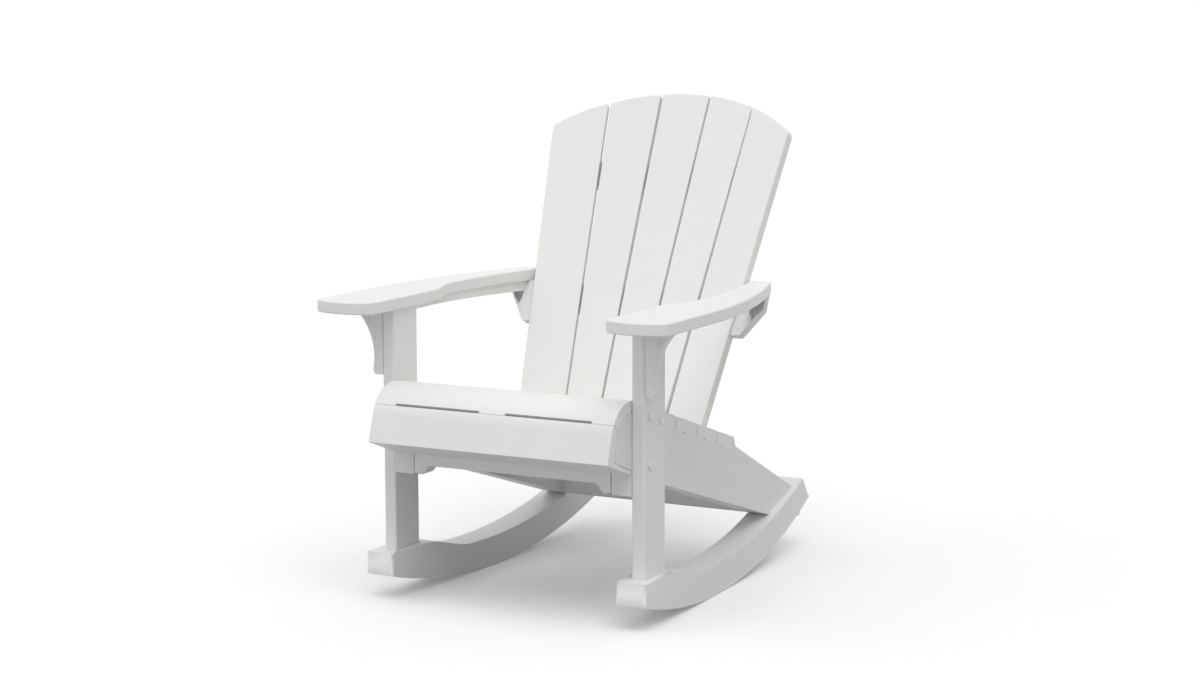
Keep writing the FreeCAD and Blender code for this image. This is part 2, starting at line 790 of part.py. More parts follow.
def ear_screw_seat():
    """Where the screw through the right bracket end sits, in the back's own upright frame."""
    lean = math.radians(back_lean)
    height = ear_screw_height()
    t = (height - back_z - ear_lip_front * math.sin(lean)) / math.cos(lean)
    x = side_rail_middle(side_rail_end_y(height)) - side_rail_width / 2 + ear_screw_out
    return V(x, -ear_rear, t)


def ear_screw_length():
    return ear_lip_front - ear_rear + ear_screw_bite


def ear_screw():
    """The screw from behind the right bracket end into the rail under the armrest."""
    return on_back(fastener(ear_screw_seat(), -Y_AXIS, ear_screw_length(), screw_radius, screw_head_radius,
                            screw_head_height))


def ear_screw_hole():
    return on_back(fastener_hole(ear_screw_seat(), -Y_AXIS, ear_screw_length(), screw_radius,
                                 screw_head_radius, 2 * rail_depth))


def arm_screws():
    upright = [fastener(seat, Z_AXIS, length, screw_radius, screw_head_radius, screw_head_height)
               for seat, length in arm_screw_seats()]
    return upright + [ear_screw()]


def arm_screw_holes():
    upright = [fastener_hole(seat, Z_AXIS, length, screw_radius, screw_head_radius, 2 * side_rail_rear_drop)
               for seat, length in arm_screw_seats()]
    return upright + [ear_screw_hole()]


# Curved brackets outside the legs


def leg_bracket():
    """Curved bracket between the right leg's outer face and the armrest."""
    foot = bracket_foot
    y = bracket_setback
    tip = V(leg_outer + bracket_reach, y, arm_under)
    curve_end = V(leg_outer + bracket_foot_width, y, foot + bracket_foot_rise)
    corner = V(leg_outer + bracket_foot_width, y, foot)
    chord = tip - curve_end
    inward = V(-chord.z, 0, chord.x)
    inward.normalize()
    belly = (tip + curve_end) * 0.5 + inward * bracket_sag
    outline = [
        segment(V(leg_outer, y, arm_under), tip),
        arc(tip, belly, curve_end),
        segment(curve_end, corner),
        segment(corner, V(leg_outer, y, foot)),
        segment(V(leg_outer, y, foot), V(leg_outer, y, arm_under)),
    ]
    plate = Part.Face(Part.Wire(outline)).extrude(V(0, bracket_thickness, 0))
    foot_edges = edges_where(plate, lambda p: near(p.x, corner.x) and near(p.z, foot))
    plate = plate.makeFillet(bracket_foot_round, foot_edges)
    return plate.cut(plug_space())


def plug_axis():
    tilt = math.radians(plug_tilt)
    return V(0, math.cos(tilt), math.sin(tilt))


def plug_mouth():
    return V(leg_outer + plug_out, bracket_setback, arm_under - plug_drop)


def bracket_screw_reach():
    return (plug_drop + arm_screw_bite) / plug_axis().z - plug_length - screw_head_height


def bracket_screw():
    seat = plug_mouth() + plug_axis() * (plug_length + screw_head_height)
    head_radius = plug_radius - fit / 2
    return fastener(seat, plug_axis(), bracket_screw_reach(), bracket_screw_radius, head_radius,
                    screw_head_height)


def bracket_plug():
    start = plug_mouth() - plug_axis() * (plug_radius / 2)
    return cylinder_along(start, plug_axis(), plug_radius, plug_length + plug_radius / 2 - fit / 2)


def plug_space():
    start = plug_mouth() - plug_axis() * (2 * plug_radius)
    depth = 2 * plug_radius + plug_length + screw_head_height
    wide = cylinder_along(start, plug_axis(), plug_radius + fit / 2, depth)
    seat = plug_mouth() + plug_axis() * (plug_length + screw_head_height)
    narrow = cylinder_along(seat, plug_axis(), bracket_screw_radius + fit / 2, bracket_screw_reach() + fit)
    return wide.fuse(narrow)


# Back


def on_back(shape):
    """Lean a piece made upright on the back's own frame, and set it in its place."""
    placed = shape.copy()
    placed.rotate(ORIGIN, X_AXIS, -back_lean)
    placed.translate(V(0, back_y, back_z))
    return placed


def back_plane_y(n, z):
    """Where the plane that stands n in front of the middle slat is, at some height."""
    lean = math.radians(back_lean)
    return back_y + ((z - back_z) * math.sin(lean) - n) / math.cos(lean)


def groove_line(index):
    """The s of a groove's middle line where t is 0, and how much it widens for each step of t."""
    side = -1 if index < 0 else 1
    place = abs(index) - 1
    low = groove_low[place]
    return side * low, side * (groove_high[place] - low) / groove_span


def slat_lines(index):
    """Left and right groove lines of a back slat, counted from -2 to 2 across the back."""
    left = (-1, -2, -3)[-index] if index <= 0 else (0, 1, 2)[index]
    right = (1, 2, 3)[index] if index >= 0 else (0, -1, -2)[-index]
    return groove_line(left), groove_line(right)


def slat_middle(index, t):
    (left, left_rate), (right, right_rate) = slat_lines(index)
    return (left + right + (left_rate + right_rate) * t) / 2


def slat_turn(index):
    """Degrees that a back slat is turned round the cylinder."""
    return math.degrees(slat_middle(index, groove_span / 2) / back_radius)


def crest_height(start, rate):
    """The t at which a line s = start + rate * t meets the arc along the top of the back."""
    a = 1 + rate ** 2
    b = 2 * (start * rate - crest_centre)
    c = start ** 2 + crest_centre ** 2 - crest_radius ** 2
    return (-b + math.sqrt(b ** 2 - 4 * a * c)) / (2 * a)


def side_gap(has_neighbour):
    return groove_gap / 2 if has_neighbour else 0


def slat_block(index, grow, ahead, behind):
    """A back slat's board, wider by grow on each side, from ahead of its front face to behind it."""
    (left, left_rate), (right, right_rate) = slat_lines(index)
    left += side_gap(index > -2) - grow
    right -= side_gap(index < 2) - grow
    centre = slat_middle(index, groove_span / 2)

    def corner(start, rate, t):
        return V(start + rate * t - centre, -ahead, t)

    left_top = crest_height(left, left_rate)
    right_top = crest_height(right, right_rate)
    top_middle_s = slat_middle(index, crest_centre + crest_radius)
    top_middle_t = crest_centre + math.sqrt(crest_radius ** 2 - top_middle_s ** 2)
    outline = [
        segment(corner(left, left_rate, back_low_t), corner(right, right_rate, back_low_t)),
        segment(corner(right, right_rate, back_low_t), corner(right, right_rate, right_top)),
        arc(corner(right, right_rate, right_top), corner(top_middle_s, 0, top_middle_t),
            corner(left, left_rate, left_top)),
        segment(corner(left, left_rate, left_top), corner(left, left_rate, back_low_t)),
    ]
    return Part.Face(Part.Wire(outline)).extrude(V(0, ahead + behind, 0))


def turned(shape, index):
    """Turn a board made on the middle plane round the back's cylinder to its own place."""
    placed = shape.copy()
    placed.rotate(V(0, -back_radius, 0), Z_AXIS, -slat_turn(index))
    return placed


def back_slat(index):
    board = slat_block(index, 0, 0, slat_thickness)
    tops = [edge for edge in edges_where(board, lambda p: p.z > crest_centre) if runs_along(edge, Y_AXIS)]
    outer = [edge for edge in tops if abs(index) == 2 and edge.CenterOfMass.x * index > 0]
    inner = [edge for edge in tops if not any(edge.isSame(other) for other in outer)]
    board = board.makeFillet(slat_corner, inner)
    if outer:
        tops = [edge for edge in edges_where(board, lambda p: p.z > crest_centre) if runs_along(edge, Y_AXIS)]
        outer = [max(tops, key=lambda edge: edge.CenterOfMass.x * index)]
        board = board.makeFillet(shoulder_round, outer)
    board = board.makeFillet(slat_round, edges_where(board, lambda p: near(p.y, 0)))
    board = turned(board, index)
    for t in rail_middles():
        board = board.cut(back_screw_space(index, t))
    return on_back(board)


def back_envelope(grow, ahead, behind):
    """The space of the whole back, without its grooves."""
    space = turned(slat_block(0, grow, ahead, behind), 0)
    for index in (-2, -1, 1, 2):
        space = space.fuse(turned(slat_block(index, grow, ahead, behind), index))
    return on_back(space)


# Rails behind the back


def rail_corners(distance, end_turn):
    """Corners of a faceted line that lies a distance behind the slats' front faces."""
    turns = [slat_turn(index) for index in range(-2, 3)]
    corners = [(-end_turn, turns[0])]
    corners += [((a + b) / 2, a) for a, b in zip(turns, turns[1:])]
    corners.append((end_turn, turns[-1]))
    points = []
    for angle, plane in corners:
        radius = (back_radius + distance) / math.cos(math.radians(angle - plane))
        turn = math.radians(angle)
        points.append(V(radius * math.sin(turn), radius * math.cos(turn) - back_radius, 0))
    return points


def back_rail(t, height, reach):
    """A faceted rail behind the slats, still upright. Its reach runs round the cylinder."""
    turn = math.degrees(reach / back_radius)
    front = rail_corners(slat_thickness, turn)
    rear = rail_corners(slat_thickness + rail_depth, turn)
    points = front + rear[::-1]
    plan = Part.makePolygon(points + [points[0]])
    rail = Part.Face(plan).extrude(V(0, 0, height))
    rail.translate(V(0, 0, t))
    return rail


def rail_middles():
    return [upper_rail_t + upper_rail_height / 2, arm_rail_t + arm_rail_height / 2,
            lower_rail_t + lower_rail_height / 2]


def back_screw_seat(index, t):
    return V(slat_middle(index, t) - slat_middle(index, groove_span / 2), slat_thickness + rail_depth, t)


def back_screw(index, t):
    length = rail_depth + slat_screw_bite
    screw = fastener(back_screw_seat(index, t), -Y_AXIS, length, screw_radius, screw_head_radius,
                     screw_head_height)
    return on_back(turned(screw, index))


def back_screw_space(index, t):
    length = rail_depth + slat_screw_bite
    space = fastener_hole(back_screw_seat(index, t), -Y_AXIS, length, screw_radius, screw_head_radius, 0)
    return turned(space, index)


def seated(rail):
    """Lean a rail back, and cut its front to the rear faces of the slats, whose joints run aslant over it."""
    return on_back(rail).cut(back_envelope(groove_gap / 2, big, slat_thickness))


def drilled(rail, t):
    for index in range(-2, 3):
        rail = rail.cut(on_back(back_screw_space(index, t)))
    return rail


def upper_rail():
    rail = seated(back_rail(upper_rail_t, upper_rail_height, upper_rail_reach))
    return drilled(rail, rail_middles()[0])


def lower_rail():
    """The lower rail is let into both side panels."""
    rail = drilled(seated(back_rail(lower_rail_t, lower_rail_height, arm_rail_reach)), rail_middles()[2])
    reach = panel_inner + housing_depth
    return rail.common(box(-reach, reach, -big, big, -big, big))


def upright_prism(points, n0, n1):
    """A prism in the back's own upright frame, from points given as x and t, between two values of n."""
    corners = [V(x, -n0, t) for x, t in points]
    face = Part.Face(Part.makePolygon(corners + [corners[0]]))
    return face.extrude(V(0, n0 - n1, 0))


def ear_outline():
    """Outline of a bracket end, seen square on the back, with its sloping lower edge."""
    high_t = arm_rail_t + 2 * arm_rail_height
    outline = upright_prism([(ear_inner, ear_low_t), (ear_heel, ear_low_t), (ear_reach, ear_slope_t),
                             (ear_reach, high_t), (ear_inner, high_t)], ear_lip_front, ear_rear)
    heel = edges_where(outline, lambda p: near(p.x, ear_heel))
    return outline.makeFillet(ear_corner_round, heel)


def ear_plan():
    """The same bracket end seen along the back: the lip beside the slat, and the front that falls back."""
    drop = ear_lip_front - ear_front
    radius = (ear_fall ** 2 + drop ** 2) / (2 * drop)
    half_drop = radius - math.sqrt(radius ** 2 - ear_fall ** 2 / 4)
    lip_end = V(ear_lip_end, -ear_lip_front, -big)
    fall_middle = V(ear_lip_end + ear_fall / 2, half_drop - ear_lip_front, -big)
    fall_end = V(ear_lip_end + ear_fall, -ear_front, -big)
    around = [fall_end] + [V(x, -n, -big) for x, n in (
        (ear_reach, ear_front), (ear_reach, ear_rear), (ear_inner, ear_rear), (ear_inner, ear_lip_front))]
    outline = [segment(*ends) for ends in zip(around, around[1:] + [lip_end])]
    outline.append(arc(lip_end, fall_middle, fall_end))
    return Part.Face(Part.Wire(outline)).extrude(V(0, 0, 2 * big))


def ear_pocket():
    tip_t = arm_under_t - ear_pocket_tip_drop
    side_t = arm_under_t - ear_pocket_side_drop
    outer = ear_reach - ear_pocket_wall
    high_t = arm_rail_t + 2 * arm_rail_height
    points = [(ear_pocket_inner, tip_t + ear_pocket_rise), (ear_pocket_tip, tip_t), (outer, side_t),
              (outer, high_t), (ear_pocket_inner, high_t)]
    return upright_prism(points, ear_lip_front, ear_rear + ear_floor)


def arm_rail_ear():
    """The right bracket end."""
    return on_back(ear_outline().common(ear_plan()).cut(ear_pocket()))


def arm_cross_rail():
    """The rail that joins the back to both armrests."""
    rail = seated(back_rail(arm_rail_t, arm_rail_height, arm_rail_reach))
    ear = arm_rail_ear().cut(back_envelope(fit, big, slat_thickness))
    rail = rail.fuse(ear).fuse(mirrored(ear))
    rail = rail.common(box(-big, big, -big, big, -big, arm_under))
    rail = drilled(rail, rail_middles()[1])
    for space in arm_screw_holes():
        rail = rail.cut(space).cut(mirrored(space))
    return rail.removeSplitter()


# Front apron and rear stretcher


def apron():
    """Front apron, with an arched lower edge and tenons in the side panels."""
    inner = apron_arch_half
    slope_end = apron_arch_half + apron_arch_slope
    ease = apron_arch_slope / 2
    left_arch = V(-inner, 0, apron_arch)
    right_arch = V(inner, 0, apron_arch)
    left_foot = V(-slope_end, 0, apron_foot)
    right_foot = V(slope_end, 0, apron_foot)
    side = panel_inner - apron_gap
    outline = [
        segment(V(-side, 0, apron_top), V(side, 0, apron_top)),
        segment(V(side, 0, apron_top), V(side, 0, apron_foot)),
        segment(V(side, 0, apron_foot), right_foot),
        bezier(right_foot, right_foot - V(ease, 0, 0), right_arch + V(ease, 0, 0), right_arch),
        segment(right_arch, left_arch),
        bezier(left_arch, left_arch - V(ease, 0, 0), left_foot + V(ease, 0, 0), left_foot),
        segment(left_foot, V(-side, 0, apron_foot)),
        segment(V(-side, 0, apron_foot), V(-side, 0, apron_top)),
    ]
    board = Part.Face(Part.Wire(outline)).extrude(V(0, apron_depth, 0))
    lower = edges_where(board, lambda p: near(p.y, 0) and p.z < apron_arch + 1e-3 and abs(p.x) < side + 1e-3)
    board = board.makeFillet(apron_round, lower)
    return board.fuse(tenons(side, apron_depth / 4, apron_depth * 3 / 4, apron_foot + apron_tenon_inset,
                             apron_top - apron_tenon_inset))


def tenons(root, y0, y1, z0, z1):
    """The two tenons of a cross piece, from the piece's ends into the side panels."""
    reach = panel_inner + housing_depth
    return box(-reach, -root, y0, y1, z0, z1).fuse(box(root, reach, y0, y1, z0, z1))


def stretcher():
    """Rear stretcher between the side panels, over the rockers."""
    rear = stretcher_front + stretcher_thickness
    top = stretcher_foot + stretcher_height
    board = box(-panel_inner, panel_inner, stretcher_front, rear, stretcher_foot, top)
    board = board.makeFillet(board_round, [edge for edge in board.Edges if runs_along(edge, X_AXIS)])
    return board.fuse(tenons(panel_inner, stretcher_front + stretcher_tenon_side, rear - stretcher_tenon_side,
                             stretcher_foot + stretcher_tenon_inset, top - stretcher_tenon_inset))


def both_sides(solids):
    return Part.makeCompound(solids + [mirrored(solid) for solid in solids])


def make_chair():
    """Every piece by name, with y still measured from the legs' front faces."""
    rocker = rocker_blank()
    cross_pieces = [apron(), stretcher(), lower_rail()]
    panel = side_panel(rocker, cross_pieces)
    bored_rocker = rocker
    for space in rocker_bolt_holes():
        bored_rocker = bored_rocker.cut(space)

    pieces = {
        "front_apron": cross_pieces[0],
        "rear_stretcher": cross_pieces[1],
        "lower_back_rail": cross_pieces[2],
        "upper_back_rail": upper_rail(),
        "arm_cross_rail": arm_cross_rail(),
        "seat_fascia": fascia(),
    }
    notch = back_envelope(notch_gap, notch_gap, slat_thickness + notch_gap)
    bosses = [boss_space(spot, fit) for spot in boss_spots()]
    boards = {"seat_nose_board": nose_board()}
    for index in range(seat_slats):
        boards["seat_slat_%d" % (index + 1)] = seat_slat(index)
    for name, board in boards.items():
        board = board.cut(notch)
        for boss in bosses:
            board = board.cut(boss).cut(mirrored(boss))
        pieces[name] = board
    for index in range(-2, 3):
        pieces["back_slat_%d" % (index + 3)] = back_slat(index)

    right_pieces = {
        "rocker": bored_rocker,
        "side_panel": panel,
        "front_leg": front_leg(),
        "armrest": armrest(),
        "arm_side_rail": arm_side_rail(),
        "leg_bracket": leg_bracket(),
    }
    for name, piece in right_pieces.items():
        pieces[name + "_right"] = piece
        pieces[name + "_left"] = mirrored(piece)

    pieces["leg_bolts"] = both_sides(leg_bolts())
    pieces["leg_bolt_caps"] = both_sides(leg_caps())
    pieces["rocker_bolts"] = both_sides(rocker_bolts())
    pieces["armrest_screws"] = both_sides(arm_screws())
    pieces["bracket_screws"] = both_sides([bracket_screw()])
    pieces["bracket_plugs"] = both_sides([bracket_plug()])
    for name, t in zip(("upper", "arm", "lower"), rail_middles()):
        screws = [back_screw(index, t) for index in range(-2, 3)]
        pieces["back_screws_" + name] = Part.makeCompound(screws)
    return pieces


def main():
    os.makedirs("parts", exist_ok=True)
    pieces = make_chair()
    outline = Part.makeCompound(list(pieces.values())).BoundBox
    middle = (outline.YMin + outline.YMax) / 2
    for name, piece in pieces.items():
        piece.translate(V(0, -middle, 0))
        piece.exportStep("parts/%s.step" % name)
    weighted = V(0, 0, 0)
    total = 0.0
    for piece in pieces.values():
        for solid in piece.Solids:
            weighted += solid.CenterOfMass * solid.Volume
            total += solid.Volume
    print("footprint middle is", round(middle, 2), "behind the legs' front faces")
    print("size", round(outline.XLength, 1), round(outline.YLength, 1), round(outline.ZLength, 1),
          "lowest", round(outline.ZMin, 3))
    balance = (weighted / total).y + middle - low_point
    print("balance point is", round(balance, 1), "behind the low point, volume", round(total / 1e6, 2), "litres")


main()
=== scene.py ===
import math

import bmesh
import bpy
import numpy as np
from mathutils import Matrix, Vector


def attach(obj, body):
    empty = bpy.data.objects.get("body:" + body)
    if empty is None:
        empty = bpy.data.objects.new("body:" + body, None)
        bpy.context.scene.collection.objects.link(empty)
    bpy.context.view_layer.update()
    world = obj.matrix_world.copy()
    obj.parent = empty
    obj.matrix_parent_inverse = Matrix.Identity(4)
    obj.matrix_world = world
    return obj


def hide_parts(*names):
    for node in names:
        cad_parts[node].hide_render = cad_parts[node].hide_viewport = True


bl_info = {
    "name": "Rocking garden chair",
    "version": (1, 0, 0),
    "blender": (4, 5, 0),
    "location": "3D View > Sidebar > Chair",
    "description": "Dresses the construction model of a rocking garden chair of moulded resin boards",
    "category": "Object",
}

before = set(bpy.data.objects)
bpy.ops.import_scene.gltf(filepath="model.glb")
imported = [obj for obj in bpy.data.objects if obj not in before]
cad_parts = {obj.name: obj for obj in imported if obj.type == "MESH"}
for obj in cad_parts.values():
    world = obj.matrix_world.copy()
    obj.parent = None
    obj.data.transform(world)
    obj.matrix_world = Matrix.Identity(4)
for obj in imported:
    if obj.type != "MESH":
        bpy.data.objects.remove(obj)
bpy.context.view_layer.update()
MERGE_DISTANCE = 1e-5
WHITE = (1.0, 1.0, 1.0, 1.0)


# Sizes and colours


class ChairBackSizes(bpy.types.PropertyGroup):
    """Sizes of the fanned back. s runs across the back, and t up along it from the back's foot point."""
    lean: bpy.props.FloatProperty(
        name="Lean", description="Angle of the back from upright", default=math.radians(26.9),
        subtype="ANGLE")
    radius: bpy.props.FloatProperty(
        name="Curve", description="Radius of the curve that the boards stand on", default=0.7665,
        unit="LENGTH", precision=4)
    foot_point: bpy.props.FloatVectorProperty(
        name="Foot point", description="Where t is zero, on the front of the middle board",
        default=(0.0, 0.13324, 0.42), subtype="TRANSLATION")
    low_end: bpy.props.FloatProperty(
        name="Lower end", description="t of the boards' lower ends", default=-0.26, unit="LENGTH")
    thickness: bpy.props.FloatProperty(
        name="Thickness", description="Thickness of a back board", default=0.018, unit="LENGTH")
    groove_gap: bpy.props.FloatProperty(
        name="Groove", description="Gap between two boards", default=0.0045, unit="LENGTH", precision=4)
    lines_low: bpy.props.FloatVectorProperty(
        name="Lines at the foot point", size=3, default=(0.0415, 0.1252, 0.2273),
        description="s of the two grooves and of the outer edge, where t is zero")
    lines_high: bpy.props.FloatVectorProperty(
        name="Lines higher up", description="s of the same lines, one span higher", size=3,
        default=(0.0542, 0.1637, 0.2796))
    span: bpy.props.FloatProperty(
        name="Span", description="t at which the higher lines are given", default=0.5, unit="LENGTH")
    crest_centre: bpy.props.FloatProperty(
        name="Crest centre", description="t of the centre of the arc along the top", default=0.164,
        unit="LENGTH", precision=4)
    crest_radius: bpy.props.FloatProperty(
        name="Crest radius", description="Radius of the arc along the top", default=0.440,
        unit="LENGTH", precision=4)
    corner: bpy.props.FloatProperty(
        name="Corner", description="Rounding of a board's top corners", default=0.004, unit="LENGTH")
    shoulder: bpy.props.FloatProperty(
        name="Shoulder", description="Rounding of the back's two outer corners", default=0.015,
        unit="LENGTH")
    edge: bpy.props.FloatProperty(
        name="Edge", description="Rounding along the boards' edges", default=0.002, unit="LENGTH")


class ChairFinish(bpy.types.PropertyGroup):
    """Colours and surface of the resin and of the fasteners."""
    board_colour: bpy.props.FloatVectorProperty(
        name="Boards", description="Colour of the moulded boards", subtype="COLOR", size=3, min=0, max=1,
        default=(0.800, 0.796, 0.782))
    panel_colour: bpy.props.FloatVectorProperty(
        name="Side panels", description="Colour of the side panels", subtype="COLOR", size=3, min=0, max=1,
        default=(0.770, 0.766, 0.752))
    cap_colour: bpy.props.FloatVectorProperty(
        name="Covers", description="Colour of the screw covers", subtype="COLOR", size=3, min=0, max=1,
        default=(0.815, 0.813, 0.800))
    steel_colour: bpy.props.FloatVectorProperty(
        name="Steel", description="Colour of the bolts and screws", subtype="COLOR", size=3, min=0, max=1,
        default=(0.60, 0.60, 0.595))
    edge_round: bpy.props.FloatProperty(
        name="Edge rounding", description="Rounding of the moulded edges", default=0.0012,
        unit="LENGTH", precision=4)
    resin_roughness: bpy.props.FloatProperty(
        name="Roughness", description="Roughness of the resin", default=0.46, min=0, max=1)


class ChairStage(bpy.types.PropertyGroup):
    """Floor, lamps and camera."""
    floor_half: bpy.props.FloatProperty(
        name="Floor", description="Half the side of the floor", default=14.0, unit="LENGTH")
    floor_colour: bpy.props.FloatVectorProperty(
        name="Floor colour", description="Colour of the floor", subtype="COLOR", size=3, min=0, max=1,
        default=(0.80, 0.80, 0.80))
    floor_bounce: bpy.props.FloatProperty(
        name="Floor bounce", description="Share of its colour with which the floor lights the chair",
        default=0.55)
    floor_glow: bpy.props.FloatProperty(
        name="Floor glow", description="Light that the camera alone sees added to the floor",
        default=0.17)
    ambient: bpy.props.FloatProperty(
        name="Ambient", description="Strength of the even light from all round", default=0.59)
    key_strength: bpy.props.FloatProperty(
        name="Key light", description="Strength of the wide soft light from above", default=1.26)
    key_from: bpy.props.FloatVectorProperty(
        name="Key direction", description="Where the key light comes from", subtype="DIRECTION",
        default=(0.25, -0.35, 0.90))
    side_strength: bpy.props.FloatProperty(
        name="Side light", description="Strength of the wide soft light from the left", default=0.50)
    side_from: bpy.props.FloatVectorProperty(
        name="Side direction", description="Where the side light comes from", subtype="DIRECTION",
        default=(-0.65, -0.30, 0.70))
    lamp_spread: bpy.props.FloatProperty(
        name="Lamp spread", description="How wide each lamp looks from the chair", subtype="ANGLE",
        default=math.radians(50))
    camera_place: bpy.props.FloatVectorProperty(
        name="Camera", description="Where the camera stands", subtype="TRANSLATION",
        default=(2.449957, -4.603081, 1.245056))
    camera_turn: bpy.props.FloatProperty(
        name="Turn", description="Angle round the chair, from straight in front", subtype="ANGLE",
        default=math.radians(27.953))
    camera_rise: bpy.props.FloatProperty(
        name="Rise", description="Angle above level", subtype="ANGLE", default=math.radians(8.241))
    camera_roll: bpy.props.FloatProperty(
        name="Roll", description="Turn of the picture", subtype="ANGLE", default=math.radians(-0.09))
    lens: bpy.props.FloatProperty(
        name="Lens", description="Focal length on a 36 mm sensor, in millimetres", default=78.447)


# Node trees


def add_node(tree, kind, settings=None, inputs=None):
    """Add a node. An input is given a value, or a socket to link it to."""
    made = tree.nodes.new(kind)
    for name, value in (settings or {}).items():
        setattr(made, name, value)
    for key, value in (inputs or {}).items():
        if isinstance(value, bpy.types.NodeSocket):
            tree.links.new(value, made.inputs[key])
        else:
            made.inputs[key].default_value = value
    return made


def node_of(tree, kind):
    """The one node of a kind that a new tree comes with."""
    return next(node for node in tree.nodes if node.type == kind)


def calculate(tree, operation, first, second=0.0):
    """The result of a sum with numbers."""
    return add_node(tree, "ShaderNodeMath", {"operation": operation}, {0: first, 1: second}).outputs[0]


def calculate_vector(tree, operation, first, second):
    """The result of a sum with vectors."""
    inputs = {0: first, 1: second}
    return add_node(tree, "ShaderNodeVectorMath", {"operation": operation}, inputs).outputs[0]


def scaled(tree, vector, factor):
    """A vector or colour times a number."""
    inputs = {0: vector, "Scale": factor}
    return add_node(tree, "ShaderNodeVectorMath", {"operation": "SCALE"}, inputs).outputs[0]


def combine(tree, x=0.0, y=0.0, z=0.0):
    """A vector from its three parts."""
    return add_node(tree, "ShaderNodeCombineXYZ", {}, {"X": x, "Y": y, "Z": z}).outputs[0]


def noise(tree, place, inputs):
    """A noise pattern over the surface."""
    return add_node(tree, "ShaderNodeTexNoise", {}, {"Vector": place, **inputs}).outputs[0]


def around_zero(tree, pattern):
    """A pattern from 0 to 1, shifted to lie evenly about zero."""
    return calculate(tree, "SUBTRACT", pattern, 0.5)


def spread_from(tree, pattern, least, spread):
    """A pattern from 0 to 1, spread over a range above its least value."""
    return calculate(tree, "ADD", least, calculate(tree, "MULTIPLY", pattern, spread))


def stored(tree, kind, name):
    """A value that the points of a mesh carry."""
    return add_node(tree, "GeometryNodeInputNamedAttribute", {"data_type": kind}, {"Name": name}).outputs[0]


def new_tree(name, kind, inputs, outputs):
    """A node group with named sockets, its input node's outputs and its output node."""
    tree = bpy.data.node_groups.new(name, kind)
    for label, socket_kind, default in inputs:
        socket = tree.interface.new_socket(label, in_out="INPUT", socket_type=socket_kind)
        if default is not None:
            socket.default_value = default
    for label, socket_kind in outputs:
        tree.interface.new_socket(label, in_out="OUTPUT", socket_type=socket_kind)
    return tree, tree.nodes.new("NodeGroupInput").outputs, tree.nodes.new("NodeGroupOutput")


def put_out(tree, out, values):
    """Link values to a group's outputs by their labels."""
    for label, value in values.items():
        tree.links.new(value, out.inputs[label])


def end_tree(tree, out, geometry, finish):
    """End a geometry tree with real geometry in one material."""
    real = add_node(tree, "GeometryNodeRealizeInstances", {}, {"Geometry": geometry}).outputs[0]
    finished = add_node(tree, "GeometryNodeSetMaterial", {}, {"Geometry": real, "Material": finish})
    tree.links.new(finished.outputs[0], out.inputs[0])


def set_inputs(modifier, values):
    """Set a modifier's inputs by their labels."""
    sockets = {item.name: item.identifier for item in modifier.node_group.interface.items_tree
               if item.in_out == "INPUT"}
    for label, value in values.items():
        modifier[sockets[label]] = value


# Finishes


SKIN_OUTPUTS = [
    ("Colour", "NodeSocketColor"),
    ("Roughness", "NodeSocketFloat"),
    ("Normal", "NodeSocketVector"),
]

# How far the lengthwise patterns are squeezed along and across a board, and how strongly each one shows
GRAIN_STRETCH = (5.0, 150.0, 150.0)
SCRATCH_STRETCH = (200.0, 2400.0, 2400.0)
SPECKLE_HEIGHT = 0.16
GRAIN_SHADE = 0.10
MOTTLE_SHADE = 0.035
MOTTLE_ROUGHNESS = 0.18


def resin_skin():
    """Shader group: faint lengthwise grain, fine speckle and slow mottling of moulded resin."""
    if "resin skin" in bpy.data.node_groups:
        return bpy.data.node_groups["resin skin"]
    tree, given, out = new_tree("resin skin", "ShaderNodeTree", [
        ("Vector", "NodeSocketVector", None),
        ("Colour", "NodeSocketColor", None),
        ("Roughness", "NodeSocketFloat", 0.46),
        ("Grain", "NodeSocketFloat", 0.5),
    ], SKIN_OUTPUTS)
    stretched = calculate_vector(tree, "MULTIPLY", given["Vector"], GRAIN_STRETCH)
    grain = noise(tree, stretched, {"Scale": 1.0, "Detail": 5.0, "Roughness": 0.62, "Distortion": 0.5})
    speckle = noise(tree, given["Vector"], {"Scale": 900.0, "Detail": 2.0})
    mottle = around_zero(tree, noise(tree, given["Vector"], {"Scale": 6.0, "Detail": 3.0}))
    height = calculate(tree, "ADD", calculate(tree, "MULTIPLY", grain, given["Grain"]),
                       calculate(tree, "MULTIPLY", speckle, SPECKLE_HEIGHT))
    bump = add_node(tree, "ShaderNodeBump", {}, {"Strength": 0.35, "Distance": 0.0004, "Height": height})
    valley = calculate(tree, "MULTIPLY", around_zero(tree, grain), given["Grain"])
    shade = calculate(tree, "ADD", calculate(tree, "MULTIPLY", valley, GRAIN_SHADE),
                      calculate(tree, "MULTIPLY", mottle, MOTTLE_SHADE))
    put_out(tree, out, {
        "Colour": scaled(tree, given["Colour"], calculate(tree, "ADD", shade, 1.0)),
        "Roughness": calculate(tree, "ADD", given["Roughness"],
                               calculate(tree, "MULTIPLY", mottle, MOTTLE_ROUGHNESS)),
        "Normal": bump.outputs[0]})
    return tree


